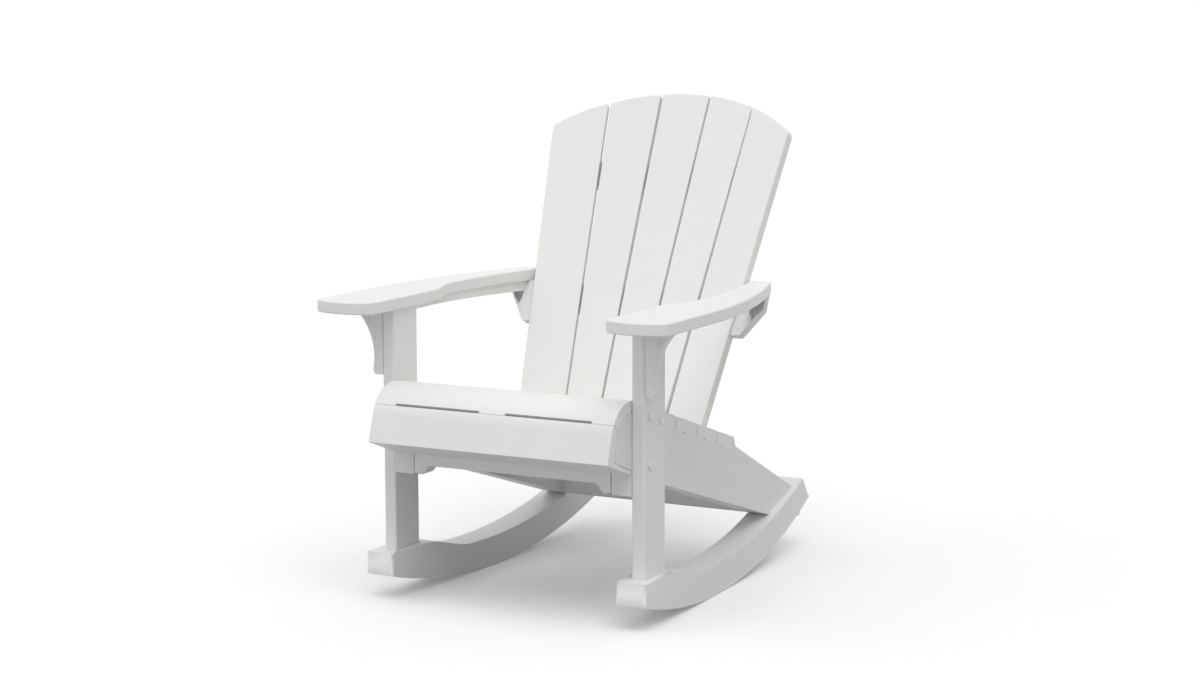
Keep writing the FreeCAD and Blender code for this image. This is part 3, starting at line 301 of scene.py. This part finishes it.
def steel_skin():
    """Shader group: fine scratches and dull patches of bare steel."""
    if "steel skin" in bpy.data.node_groups:
        return bpy.data.node_groups["steel skin"]
    tree, given, out = new_tree("steel skin", "ShaderNodeTree", [
        ("Vector", "NodeSocketVector", None),
        ("Colour", "NodeSocketColor", None),
    ], SKIN_OUTPUTS)
    stretched = calculate_vector(tree, "MULTIPLY", given["Vector"], SCRATCH_STRETCH)
    scratches = noise(tree, stretched, {"Scale": 1.0, "Detail": 3.0})
    patches = noise(tree, given["Vector"], {"Scale": 160.0, "Detail": 3.0})
    bump = add_node(tree, "ShaderNodeBump", {}, {
        "Strength": 0.25, "Distance": 0.00005, "Height": scratches})
    put_out(tree, out, {
        "Colour": scaled(tree, given["Colour"], spread_from(tree, patches, least=0.88, spread=0.24)),
        "Roughness": spread_from(tree, patches, least=0.24, spread=0.26),
        "Normal": bump.outputs[0]})
    return tree


def finish_material(name, group, turn, values, metallic):
    """A material whose skin comes from a group. The turn lays the pattern's length along the board."""
    if name in bpy.data.materials:
        return bpy.data.materials[name]
    material = bpy.data.materials.new(name)
    material.use_nodes = True
    tree = material.node_tree
    shader = node_of(tree, "BSDF_PRINCIPLED")
    place = add_node(tree, "ShaderNodeTexCoord").outputs["Object"]
    mapping = add_node(tree, "ShaderNodeMapping", {}, {"Vector": place, "Rotation": turn})
    skin = add_node(tree, "ShaderNodeGroup", {"node_tree": group}, {"Vector": mapping.outputs[0]})
    for label, value in values.items():
        skin.inputs[label].default_value = value
    shader.inputs["Metallic"].default_value = metallic
    for label, socket in (("Colour", "Base Color"), ("Roughness", "Roughness"), ("Normal", "Normal")):
        tree.links.new(skin.outputs[label], shader.inputs[socket])
    return material


# Turns that lay a pattern's length along an axis or along the sloping side panels
ALONG_X = (0.0, 0.0, 0.0)
ALONG_Y = (0.0, 0.0, math.radians(90))
ALONG_Z = (0.0, math.radians(90), 0.0)
ALONG_PANEL = (math.radians(17.0), 0.0, math.radians(90))


def resin(name, turn, colour, grain):
    """Moulded resin of some colour. Grain says how strongly its grain shows."""
    finish = bpy.context.scene.chair_finish
    values = {"Colour": (*colour, 1.0), "Roughness": finish.resin_roughness, "Grain": grain}
    return finish_material(name, resin_skin(), turn, values, metallic=0.0)


def steel():
    """Bare steel of the bolts and screws."""
    values = {"Colour": (*bpy.context.scene.chair_finish.steel_colour, 1.0)}
    return finish_material("bare steel", steel_skin(), ALONG_X, values, metallic=1.0)


# Pieces


def new_object(name, mesh):
    """Add an object to the scene."""
    made = bpy.data.objects.new(name, mesh)
    bpy.context.scene.collection.objects.link(made)
    return made


def made_plain(piece):
    """Turn a piece with its modifiers into a plain mesh."""
    bpy.context.view_layer.update()
    evaluated = piece.evaluated_get(bpy.context.evaluated_depsgraph_get())
    mesh = bpy.data.meshes.new_from_object(evaluated)
    if not mesh.polygons:
        raise RuntimeError("%s came out empty" % piece.name)
    piece.modifiers.clear()
    piece.data = mesh
    return piece


def mount_piece(piece, nodes, material):
    """Put a finished piece on the chair in place of the construction nodes that it stands for."""
    piece.data.materials.clear()
    piece.data.materials.append(material)
    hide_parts(*nodes)
    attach(piece, "root")


def has_room(edge, width):
    """Whether an edge and those that it meets are long enough to be rounded."""
    met = {other for vertex in edge.verts for other in vertex.link_edges}
    return min(other.calc_length() for other in met) > 2 * width


# Edges that turn by more than the first angle are rounded. Those that still turn by more than the second
# are shaded as creases.
ROUNDED_ABOVE = math.radians(38)
CREASED_ABOVE = math.radians(50)
EDGE_STEPS = 3


def round_edges(piece, width, all_edges=False):
    """Round a piece's sharp edges, all or only where there is room, and shade it smoothly between."""
    bevel = piece.modifiers.new("round edges", "BEVEL")
    bevel.width = width
    bevel.segments = EDGE_STEPS
    bevel.limit_method = "WEIGHT"
    bevel.use_clamp_overlap = True
    mesh = bmesh.new()
    mesh.from_mesh(piece.data)
    weights = mesh.edges.layers.float.new("bevel_weight_edge")
    for edge in mesh.edges:
        sharp = len(edge.link_faces) == 2 and edge.calc_face_angle(0.0) > ROUNDED_ABOVE
        if sharp and (all_edges or has_room(edge, width)):
            edge[weights] = 1.0
    mesh.to_mesh(piece.data)
    mesh.free()
    made_plain(piece)
    piece.data.shade_smooth()
    piece.data.set_sharp_from_angle(angle=CREASED_ABOVE)
    piece.modifiers.new("even shading", "WEIGHTED_NORMAL").keep_sharp = True
    made_plain(piece)


# Faces that turn by less than this are one flat face
FLAT_WITHIN = math.radians(0.4)


def moulded_copy(node, material, width):
    """A copy of a construction node in its place, with whole faces, rounded edges and smooth curves."""
    mesh = bmesh.new()
    mesh.from_mesh(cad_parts[node].data)
    bmesh.ops.remove_doubles(mesh, verts=mesh.verts, dist=MERGE_DISTANCE)
    bmesh.ops.dissolve_limit(mesh, angle_limit=FLAT_WITHIN, verts=mesh.verts, edges=mesh.edges)
    data = bpy.data.meshes.new(node)
    mesh.to_mesh(data)
    mesh.free()
    piece = new_object(node + "_moulded", data)
    round_edges(piece, width)
    mount_piece(piece, [node], material)


def both(*names):
    """The right and the left node of each name."""
    return [name + side for name in names for side in ("_right", "_left")]


# Back


# Boards are numbered from -2 to 2 across the back, and the lines between and beside them from -3 to 3,
# without 0
LAST_BOARD = 2
LAST_LINE = 3


def line_at(sizes, line, t):
    """The s of a line at some t."""
    side = -1 if line < 0 else 1
    low = sizes.lines_low[abs(line) - 1]
    high = sizes.lines_high[abs(line) - 1]
    return side * (low + (high - low) * t / sizes.span)


def board_lines(index):
    """The lines to the left and right of a board."""
    left = index - 1 if index <= 0 else index
    right = index + 1 if index >= 0 else index
    return left, right


def board_edges(sizes, index):
    """Start and rate of a board's left and right edge, as s = start + rate * t."""
    half = sizes.groove_gap / 2
    left, right = board_lines(index)
    edges = []
    for line, inward in ((left, 1), (right, -1)):
        start = line_at(sizes, line, 0.0)
        rate = (line_at(sizes, line, sizes.span) - start) / sizes.span
        gap = half if abs(line) < LAST_LINE else 0.0
        edges.append((start + inward * gap, rate))
    return edges


def board_middle(sizes, index):
    """The s of a board's middle, half a span up. The board is turned round the back's curve by it."""
    left, right = board_lines(index)
    return (line_at(sizes, left, sizes.span / 2) + line_at(sizes, right, sizes.span / 2)) / 2


def crest_crossing(sizes, start, rate):
    """Where a board's edge meets the arc along the top of the back."""
    square = 1 + rate ** 2
    linear = 2 * (start * rate - sizes.crest_centre)
    constant = start ** 2 + sizes.crest_centre ** 2 - sizes.crest_radius ** 2
    t = (-linear + math.sqrt(linear ** 2 - 4 * square * constant)) / (2 * square)
    return Vector((start + rate * t, t))


def rounded_corner(before, corner, after, radius, steps=5):
    """Points of an arc in place of a corner."""
    to_before = (before - corner).normalized()
    to_after = (after - corner).normalized()
    half_angle = to_before.angle(to_after) / 2
    middle = corner + (to_before + to_after).normalized() * radius / math.sin(half_angle)
    reach = radius / math.tan(half_angle)
    start = corner + to_before * reach - middle
    end = corner + to_after * reach - middle
    sweep = start.angle_signed(end)
    return [middle + Matrix.Rotation(-sweep * step / steps, 2) @ start for step in range(steps + 1)]


# Where the crest's own points begin, in corner radii from a board's corner
CREST_MARGIN = 1.2


def board_outline(sizes, index, steps=14):
    """The flat outline of a back board, counter-clockwise."""
    (left, left_rate), (right, right_rate) = board_edges(sizes, index)
    low = sizes.low_end
    foot_left = Vector((left + left_rate * low, low))
    foot_right = Vector((right + right_rate * low, low))
    top_left = crest_crossing(sizes, left, left_rate)
    top_right = crest_crossing(sizes, right, right_rate)
    radius_left = sizes.shoulder if index == -LAST_BOARD else sizes.corner
    radius_right = sizes.shoulder if index == LAST_BOARD else sizes.corner

    def on_crest(s):
        return Vector((s, sizes.crest_centre + math.sqrt(sizes.crest_radius ** 2 - s ** 2)))

    first = top_right.x - radius_right * CREST_MARGIN
    last = top_left.x + radius_left * CREST_MARGIN
    crest = [on_crest(first + (last - first) * step / steps) for step in range(steps + 1)]
    right_corner = rounded_corner(foot_right, top_right, crest[0], radius_right)
    left_corner = rounded_corner(crest[-1], top_left, foot_left, radius_left)
    return [foot_left, foot_right] + right_corner + crest[1:-1] + left_corner


def flat_fan(sizes):
    """The boards of the back as flat faces, side by side, each point with its board's middle."""
    points = []
    faces = []
    middles = []
    for index in range(-LAST_BOARD, LAST_BOARD + 1):
        outline = board_outline(sizes, index)
        faces.append(list(range(len(points), len(points) + len(outline))))
        points += [(point.x, point.y, 0.0) for point in outline]
        middles += [board_middle(sizes, index)] * len(outline)
    mesh = bpy.data.meshes.new("back boards")
    mesh.from_pydata(points, [], faces)
    mesh.attributes.new("middle", "FLOAT", "POINT").data.foreach_set("value", middles)
    return mesh


def thickened(tree, given):
    """Flat boards with their thickness, from the front faces backwards."""
    flipped = add_node(tree, "GeometryNodeFlipFaces", {}, {"Mesh": given["Geometry"]}).outputs[0]
    step_back = combine(tree, z=calculate(tree, "MULTIPLY", given["Thickness"], -1.0))
    rear = add_node(tree, "GeometryNodeSetPosition", {}, {
        "Geometry": flipped, "Offset": step_back}).outputs[0]
    walls = add_node(tree, "GeometryNodeExtrudeMesh", {"mode": "FACES"}, {
        "Mesh": rear, "Offset Scale": calculate(tree, "MULTIPLY", given["Thickness"], -1.0),
        "Individual": True}).outputs[0]
    joined = add_node(tree, "GeometryNodeJoinGeometry")
    for part in (walls, rear):
        tree.links.new(part, joined.inputs[0])
    return add_node(tree, "GeometryNodeMergeByDistance", {}, {
        "Geometry": joined.outputs[0], "Distance": MERGE_DISTANCE}).outputs[0]


def place_on_back(tree, given):
    """Where a point of the flat fan goes, once its board stands on the back's curve and leans back."""
    place = add_node(tree, "ShaderNodeSeparateXYZ", {}, {
        "Vector": add_node(tree, "GeometryNodeInputPosition").outputs[0]}).outputs
    middle = stored(tree, "FLOAT", "middle")
    turn = calculate(tree, "DIVIDE", middle, given["Curve radius"])
    cosine = calculate(tree, "COSINE", turn)
    sine = calculate(tree, "SINE", turn)
    aside = calculate(tree, "SUBTRACT", place["X"], middle)
    reach = calculate(tree, "SUBTRACT", given["Curve radius"], place["Z"])
    across = calculate(tree, "ADD", calculate(tree, "MULTIPLY", aside, cosine),
                       calculate(tree, "MULTIPLY", reach, sine))
    behind = calculate(tree, "SUBTRACT", calculate(tree, "MULTIPLY", reach, cosine),
                       calculate(tree, "MULTIPLY", aside, sine))
    upright = combine(tree, across, calculate(tree, "SUBTRACT", behind, given["Curve radius"]), place["Y"])
    leaning = add_node(tree, "ShaderNodeVectorRotate", {"rotation_type": "X_AXIS"}, {
        "Vector": upright, "Angle": calculate(tree, "MULTIPLY", given["Lean"], -1.0)}).outputs[0]
    return calculate_vector(tree, "ADD", leaning, given["Foot point"])


def fan_tree():
    """Geometry nodes: thicken flat boards, stand each one on the back's curve, and lean them back."""
    tree, given, out = new_tree("fan of boards", "GeometryNodeTree", [
        ("Geometry", "NodeSocketGeometry", None),
        ("Thickness", "NodeSocketFloat", 0.02),
        ("Curve radius", "NodeSocketFloat", 0.75),
        ("Lean", "NodeSocketFloat", 0.4),
        ("Foot point", "NodeSocketVector", None),
        ("Finish", "NodeSocketMaterial", None),
    ], [("Geometry", "NodeSocketGeometry")])
    stood = add_node(tree, "GeometryNodeSetPosition", {}, {
        "Geometry": thickened(tree, given), "Position": place_on_back(tree, given)}).outputs[0]
    end_tree(tree, out, stood, given["Finish"])
    return tree


def grown_on_tree(name, mesh, tree, values):
    """An object made by a geometry node tree, as a plain mesh."""
    piece = new_object(name, mesh)
    modifier = piece.modifiers.new(name, "NODES")
    modifier.node_group = tree
    set_inputs(modifier, values)
    return made_plain(piece)


def back_grain_turn(sizes):
    """The turn that lays the grain along the leaning boards."""
    return (sizes.lean, math.radians(90), 0.0)


class CHAIR_OT_back_boards(bpy.types.Operator):
    """Make the five fanned back boards"""
    bl_idname = "chair.back_boards"
    bl_label = "Back boards"

    def execute(self, context):
        sizes = context.scene.chair_back
        colour = context.scene.chair_finish.board_colour
        material = resin("back board resin", back_grain_turn(sizes), colour, grain=0.25)
        piece = grown_on_tree("back_boards", flat_fan(sizes), fan_tree(), {
            "Thickness": sizes.thickness, "Curve radius": sizes.radius, "Lean": sizes.lean,
            "Foot point": tuple(sizes.foot_point), "Finish": material})
        mesh = bmesh.new()
        mesh.from_mesh(piece.data)
        bmesh.ops.recalc_face_normals(mesh, faces=mesh.faces)
        mesh.to_mesh(piece.data)
        mesh.free()
        round_edges(piece, sizes.edge, all_edges=True)
        mount_piece(piece, ["back_slat_%d" % number for number in range(1, 6)], material)
        return {"FINISHED"}


# Seat, frame and arms


class CHAIR_OT_seat_boards(bpy.types.Operator):
    """Make the seat's boards, from the curved nose to the notched last one"""
    bl_idname = "chair.seat_boards"
    bl_label = "Seat boards"

    def execute(self, context):
        finish = context.scene.chair_finish
        material = resin("seat board resin", ALONG_X, finish.board_colour, grain=0.3)
        slats = ["seat_slat_%d" % number for number in range(1, 6)]
        for node in ["seat_nose_board", "seat_fascia"] + slats:
            moulded_copy(node, material, finish.edge_round)
        return {"FINISHED"}


class CHAIR_OT_side_frames(bpy.types.Operator):
    """Make the side panels, the legs and the runners"""
    bl_idname = "chair.side_frames"
    bl_label = "Side frames"

    def execute(self, context):
        finish = context.scene.chair_finish
        panel = resin("side panel resin", ALONG_PANEL, finish.panel_colour, grain=0.9)
        leg = resin("leg resin", ALONG_Z, finish.board_colour, grain=0.3)
        runner = resin("runner resin", ALONG_Y, finish.board_colour, grain=0.3)
        for name, slot, material in (("side_panel", "panel_resin", panel), ("front_leg", "board_resin", leg),
                                     ("rocker", "board_resin", runner)):
            for node in both(name):
                moulded_copy(node, material, finish.edge_round)
        return {"FINISHED"}


class CHAIR_OT_arms(bpy.types.Operator):
    """Make the armrests, the rails under them and their curved brackets"""
    bl_idname = "chair.arms"
    bl_label = "Arms"

    def execute(self, context):
        finish = context.scene.chair_finish
        along = resin("armrest resin", ALONG_Y, finish.board_colour, grain=0.35)
        upright = resin("leg resin", ALONG_Z, finish.board_colour, grain=0.3)
        for node in both("armrest", "arm_side_rail"):
            moulded_copy(node, along, finish.edge_round)
        for node in both("leg_bracket"):
            moulded_copy(node, upright, finish.edge_round)
        return {"FINISHED"}


class CHAIR_OT_cross_pieces(bpy.types.Operator):
    """Make the rails behind the back, the front apron and the rear stretcher"""
    bl_idname = "chair.cross_pieces"
    bl_label = "Cross pieces"

    def execute(self, context):
        finish = context.scene.chair_finish
        material = resin("seat board resin", ALONG_X, finish.board_colour, grain=0.3)
        rails = ["upper_back_rail", "arm_cross_rail", "lower_back_rail"]
        for node in rails + ["front_apron", "rear_stretcher"]:
            moulded_copy(node, material, finish.edge_round)
        return {"FINISHED"}


# Fasteners


def solids_of(node):
    """The corner points of each separate solid of a construction node."""
    mesh = bmesh.new()
    mesh.from_mesh(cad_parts[node].data)
    bmesh.ops.remove_doubles(mesh, verts=mesh.verts, dist=MERGE_DISTANCE)
    seen = set()
    solids = []
    for first in mesh.verts:
        if first in seen:
            continue
        seen.add(first)
        group = [first]
        for vertex in group:
            for edge in vertex.link_edges:
                other = edge.other_vert(vertex)
                if other not in seen:
                    seen.add(other)
                    group.append(other)
        solids.append(np.array([vertex.co[:] for vertex in group]))
    mesh.free()
    return solids


# A screw's head is where its radius comes near its greatest one, and its end is all within the band
HEAD_SHARE = 0.9
END_BAND = 1e-5


def screw_spot(points):
    """Where a screw's head sits and which way it points, with the sizes of its head and shank."""
    middle = (points.max(0) + points.min(0)) / 2
    axis = np.linalg.svd(points - points.mean(0))[2][0]
    along = (points - middle) @ axis
    line = middle + np.outer(along, axis)
    off = points - line
    centre = off[along > along.max() - END_BAND].mean(0)
    radii = np.linalg.norm(off - centre, axis=1)
    wide = radii > radii.max() * HEAD_SHARE
    if along[wide].mean() < 0:
        axis, along = -axis, -along
    head_top = along.max()
    head_base = along[wide].min()
    return {"seat": middle + centre + axis * head_base, "way": axis, "reach": head_base - along.min(),
            "head_radius": radii.max(), "head_height": head_top - head_base,
            "shank_radius": radii[~wide].max()}


def spun(profile, sides, name):
    """A mesh turned from a profile of (radius, height) pairs, closed at both ends on its axis."""
    mesh = bmesh.new()
    rings = []
    for radius, height in profile:
        if radius == 0:
            rings.append([mesh.verts.new((0, 0, height))])
            continue
        angles = [2 * math.pi * step / sides for step in range(sides)]
        rings.append([mesh.verts.new((radius * math.cos(angle), radius * math.sin(angle), height))
                      for angle in angles])
    for low, high in zip(rings, rings[1:]):
        for step in range(sides):
            after = (step + 1) % sides
            corners = [low[step % len(low)], low[after % len(low)], high[after % len(high)],
                       high[step % len(high)]]
            mesh.faces.new(list(dict.fromkeys(corners)))
    bmesh.ops.recalc_face_normals(mesh, faces=mesh.faces)
    made = bpy.data.meshes.new(name)
    mesh.to_mesh(made)
    mesh.free()
    return made


def screw_head():
    """A low domed screw head with a round hollow in its top. Its radius and its height are one unit."""
    profile = [(0, 0), (1, 0), (1, 0.35), (0.97, 0.55), (0.86, 0.8), (0.68, 0.95), (0.5, 1), (0.46, 0.98),
               (0.44, 0.45), (0, 0.38)]
    return spun(profile, sides=24, name="screw head")


def cover():
    """A low screw cover whose rounded rim stands clear of the leg. Its radius and height are one unit."""
    profile = [(0, 0), (0.86, 0), (0.86, 0.22), (0.98, 0.26), (1, 0.34), (1, 0.52), (0.985, 0.68),
               (0.94, 0.84), (0.87, 0.95), (0.78, 1), (0, 1)]
    return spun(profile, sides=32, name="cover")


def fastener_tree(with_shank):
    """Geometry nodes: stand a head, and a shank if wanted, on every spot, along the spot's own way."""
    tree, given, out = new_tree("fasteners on spots", "GeometryNodeTree", [
        ("Geometry", "NodeSocketGeometry", None),
        ("Head", "NodeSocketObject", None),
        ("Head radius", "NodeSocketFloat", 0.005),
        ("Head height", "NodeSocketFloat", 0.003),
        ("Shank radius", "NodeSocketFloat", 0.0024),
        ("Finish", "NodeSocketMaterial", None),
    ], [("Geometry", "NodeSocketGeometry")])
    way = stored(tree, "FLOAT_VECTOR", "way")
    turned = add_node(tree, "FunctionNodeAlignRotationToVector", {"axis": "Z"}, {"Vector": way}).outputs[0]
    head = add_node(tree, "GeometryNodeObjectInfo", {}, {"Object": given["Head"]}).outputs["Geometry"]
    head_size = combine(tree, given["Head radius"], given["Head radius"], given["Head height"])
    heads = add_node(tree, "GeometryNodeInstanceOnPoints", {}, {
        "Points": given["Geometry"], "Instance": head, "Rotation": turned, "Scale": head_size}).outputs[0]
    joined = add_node(tree, "GeometryNodeJoinGeometry")
    tree.links.new(heads, joined.inputs[0])
    if with_shank:
        rod = add_node(tree, "GeometryNodeMeshCylinder", {}, {"Vertices": 16, "Radius": 1.0, "Depth": 1.0})
        hung = add_node(tree, "GeometryNodeTransform", {}, {
            "Geometry": rod.outputs["Mesh"], "Translation": (0.0, 0.0, -0.5)}).outputs[0]
        reach = stored(tree, "FLOAT", "reach")
        rod_size = combine(tree, given["Shank radius"], given["Shank radius"], reach)
        rods = add_node(tree, "GeometryNodeInstanceOnPoints", {}, {
            "Points": given["Geometry"], "Instance": hung, "Rotation": turned, "Scale": rod_size}).outputs[0]
        tree.links.new(rods, joined.inputs[0])
    end_tree(tree, out, joined.outputs[0], given["Finish"])
    return tree


def spot_mesh(name, spots):
    """Loose points that carry each fastener's way and reach."""
    mesh = bpy.data.meshes.new(name)
    mesh.from_pydata([tuple(spot["seat"]) for spot in spots], [], [])
    ways = [number for spot in spots for number in spot["way"]]
    mesh.attributes.new("way", "FLOAT_VECTOR", "POINT").data.foreach_set("vector", ways)
    reaches = [spot["reach"] for spot in spots]
    mesh.attributes.new("reach", "FLOAT", "POINT").data.foreach_set("value", reaches)
    return mesh


FASTENER_CREASED_ABOVE = math.radians(40)


def fasteners(node, spots, head_mesh, with_shank, material):
    """Make the like screws, bolts or covers of a construction node, one on each spot."""
    head = new_object(node + " head", head_mesh)
    piece = grown_on_tree(node + "_detailed", spot_mesh(node, spots), fastener_tree(with_shank), {
        "Head": head, "Head radius": float(spots[0]["head_radius"]),
        "Head height": float(spots[0]["head_height"]),
        "Shank radius": float(spots[0]["shank_radius"]), "Finish": material})
    bpy.data.objects.remove(head)
    piece.data.shade_smooth()
    piece.data.set_sharp_from_angle(angle=FASTENER_CREASED_ABOVE)
    mount_piece(piece, [node], material)


def cover_spot(points):
    """A cover stands on the outer face of a leg, and points away from the chair's middle."""
    low, high = points.min(0), points.max(0)
    side = 1.0 if low[0] > 0 else -1.0
    foot = (low + high) / 2
    foot[0] = low[0] if side > 0 else high[0]
    return {"seat": foot, "way": np.array([side, 0.0, 0.0]), "reach": 0.0,
            "head_radius": (high[2] - low[2]) / 2, "head_height": high[0] - low[0], "shank_radius": 0.0}


class CHAIR_OT_screws(bpy.types.Operator):
    """Make the bolts and screws"""
    bl_idname = "chair.screws"
    bl_label = "Bolts and screws"

    def execute(self, context):
        back_screws = ["back_screws_upper", "back_screws_arm", "back_screws_lower"]
        for node in ["leg_bolts", "rocker_bolts", "armrest_screws", "bracket_screws"] + back_screws:
            spots = [screw_spot(points) for points in solids_of(node)]
            fasteners(node, spots, screw_head(), with_shank=True, material=steel())
        return {"FINISHED"}


# The small plugs' edges are rounded by this share of what the moulded boards' edges have
PLUG_EDGE_SHARE = 1 / 3


class CHAIR_OT_covers(bpy.types.Operator):
    """Make the covers on the legs and the plugs in the brackets"""
    bl_idname = "chair.covers"
    bl_label = "Screw covers"

    def execute(self, context):
        finish = context.scene.chair_finish
        material = resin("cover resin", ALONG_X, finish.cap_colour, grain=0.0)
        spots = [cover_spot(points) for points in solids_of("leg_bolt_caps")]
        fasteners("leg_bolt_caps", spots, cover(), with_shank=False, material=material)
        moulded_copy("bracket_plugs", material, finish.edge_round * PLUG_EDGE_SHARE)
        return {"FINISHED"}


# Stage


def seen_directly(tree):
    """1 where the camera looks, straight or through gloss or glass, and 0 for light on its way round."""
    path = add_node(tree, "ShaderNodeLightPath").outputs
    mirrored = calculate(tree, "MAXIMUM", path["Is Glossy Ray"], path["Is Transmission Ray"])
    return calculate(tree, "MAXIMUM", path["Is Camera Ray"], mirrored)


FLOOR_DROP = 0.0002


def make_floor(look):
    """Make the floor, a little below the runners' low points."""
    half = look.floor_half
    mesh = bpy.data.meshes.new("floor")
    corners = [(x, y, -FLOOR_DROP) for x, y in ((-half, -half), (half, -half), (half, half), (-half, half))]
    mesh.from_pydata(corners, [], [(0, 1, 2, 3)])
    floor = new_object("floor", mesh)
    material = bpy.data.materials.new("floor")
    material.use_nodes = True
    tree = material.node_tree
    shader = node_of(tree, "BSDF_PRINCIPLED")
    share = calculate(tree, "MAXIMUM", seen_directly(tree), look.floor_bounce)
    tree.links.new(scaled(tree, tuple(look.floor_colour), share), shader.inputs["Base Color"])
    shader.inputs["Roughness"].default_value = 1.0
    shader.inputs["Specular IOR Level"].default_value = 0.0
    shader.inputs["Emission Color"].default_value = WHITE
    glow = calculate(tree, "MULTIPLY", seen_directly(tree), look.floor_glow)
    tree.links.new(glow, shader.inputs["Emission Strength"])
    mesh.materials.append(material)


def make_world(look):
    """Make the even light from all round, which the camera sees as white."""
    world = bpy.data.worlds.new("studio")
    world.use_nodes = True
    tree = world.node_tree
    background = node_of(tree, "BACKGROUND")
    background.inputs["Color"].default_value = WHITE
    extra = calculate(tree, "MULTIPLY", seen_directly(tree), 1.0 - look.ambient)
    tree.links.new(calculate(tree, "ADD", extra, look.ambient), background.inputs["Strength"])
    bpy.context.scene.world = world


def make_lamp(name, strength, spread, way):
    """Make a wide soft light that comes from some way."""
    lamp = bpy.data.lights.new(name, "SUN")
    lamp.energy = strength
    lamp.angle = spread
    made = new_object(name, lamp)
    made.rotation_euler = (-Vector(way)).to_track_quat("-Z", "Y").to_euler()


SENSOR_WIDTH = 36.0
FARTHEST_SEEN = 100.0


def make_camera(look):
    """Make the camera that sees the chair as in the photograph."""
    turn, rise, roll = look.camera_turn, look.camera_rise, look.camera_roll
    back = Vector((math.sin(turn) * math.cos(rise), -math.cos(turn) * math.cos(rise), math.sin(rise)))
    right = (-back).cross(Vector((0, 0, 1))).normalized()
    up = back.cross(right)
    rolled_right = right * math.cos(roll) + up * math.sin(roll)
    rolled_up = up * math.cos(roll) - right * math.sin(roll)
    lens = bpy.data.cameras.new("camera")
    lens.lens = look.lens
    lens.sensor_width = SENSOR_WIDTH
    lens.sensor_fit = "HORIZONTAL"
    lens.clip_end = FARTHEST_SEEN
    camera = new_object("camera", lens)
    axes = Matrix((rolled_right, rolled_up, back)).transposed().to_4x4()
    camera.matrix_world = Matrix.Translation(look.camera_place) @ axes
    bpy.context.scene.camera = camera


class CHAIR_OT_stage(bpy.types.Operator):
    """Make the floor, the soft light and the camera"""
    bl_idname = "chair.stage"
    bl_label = "Stage"

    def execute(self, context):
        look = context.scene.chair_stage
        make_floor(look)
        make_world(look)
        make_lamp("key light", look.key_strength, look.lamp_spread, look.key_from)
        make_lamp("side light", look.side_strength, look.lamp_spread, look.side_from)
        make_camera(look)
        context.scene.view_settings.view_transform = "Standard"
        return {"FINISHED"}


# Panel and registration


OPERATORS = (CHAIR_OT_back_boards, CHAIR_OT_seat_boards, CHAIR_OT_side_frames, CHAIR_OT_arms,
             CHAIR_OT_cross_pieces, CHAIR_OT_screws, CHAIR_OT_covers, CHAIR_OT_stage)


class CHAIR_PT_pieces(bpy.types.Panel):
    """Lists the chair's pieces and sizes"""
    bl_idname = "CHAIR_PT_pieces"
    bl_label = "Rocking garden chair"
    bl_space_type = "VIEW_3D"
    bl_region_type = "UI"
    bl_category = "Chair"

    def draw(self, context):
        layout = self.layout
        for group in (context.scene.chair_back, context.scene.chair_finish, context.scene.chair_stage):
            column = layout.column()
            for name in group.bl_rna.properties.keys():
                if name not in ("rna_type", "name"):
                    column.prop(group, name)
        for operator in OPERATORS:
            layout.operator(operator.bl_idname)


CLASSES = (ChairBackSizes, ChairFinish, ChairStage) + OPERATORS + (CHAIR_PT_pieces,)


def register():
    for kind in CLASSES:
        bpy.utils.register_class(kind)
    bpy.types.Scene.chair_back = bpy.props.PointerProperty(type=ChairBackSizes)
    bpy.types.Scene.chair_finish = bpy.props.PointerProperty(type=ChairFinish)
    bpy.types.Scene.chair_stage = bpy.props.PointerProperty(type=ChairStage)


def unregister():
    del bpy.types.Scene.chair_stage
    del bpy.types.Scene.chair_finish
    del bpy.types.Scene.chair_back
    for kind in reversed(CLASSES):
        bpy.utils.unregister_class(kind)


def main():
    register()
    bpy.ops.chair.back_boards()
    bpy.ops.chair.seat_boards()
    bpy.ops.chair.side_frames()
    bpy.ops.chair.arms()
    bpy.ops.chair.cross_pieces()
    bpy.ops.chair.screws()
    bpy.ops.chair.covers()
    bpy.ops.chair.stage()


if __name__ == "__main__":
    main()
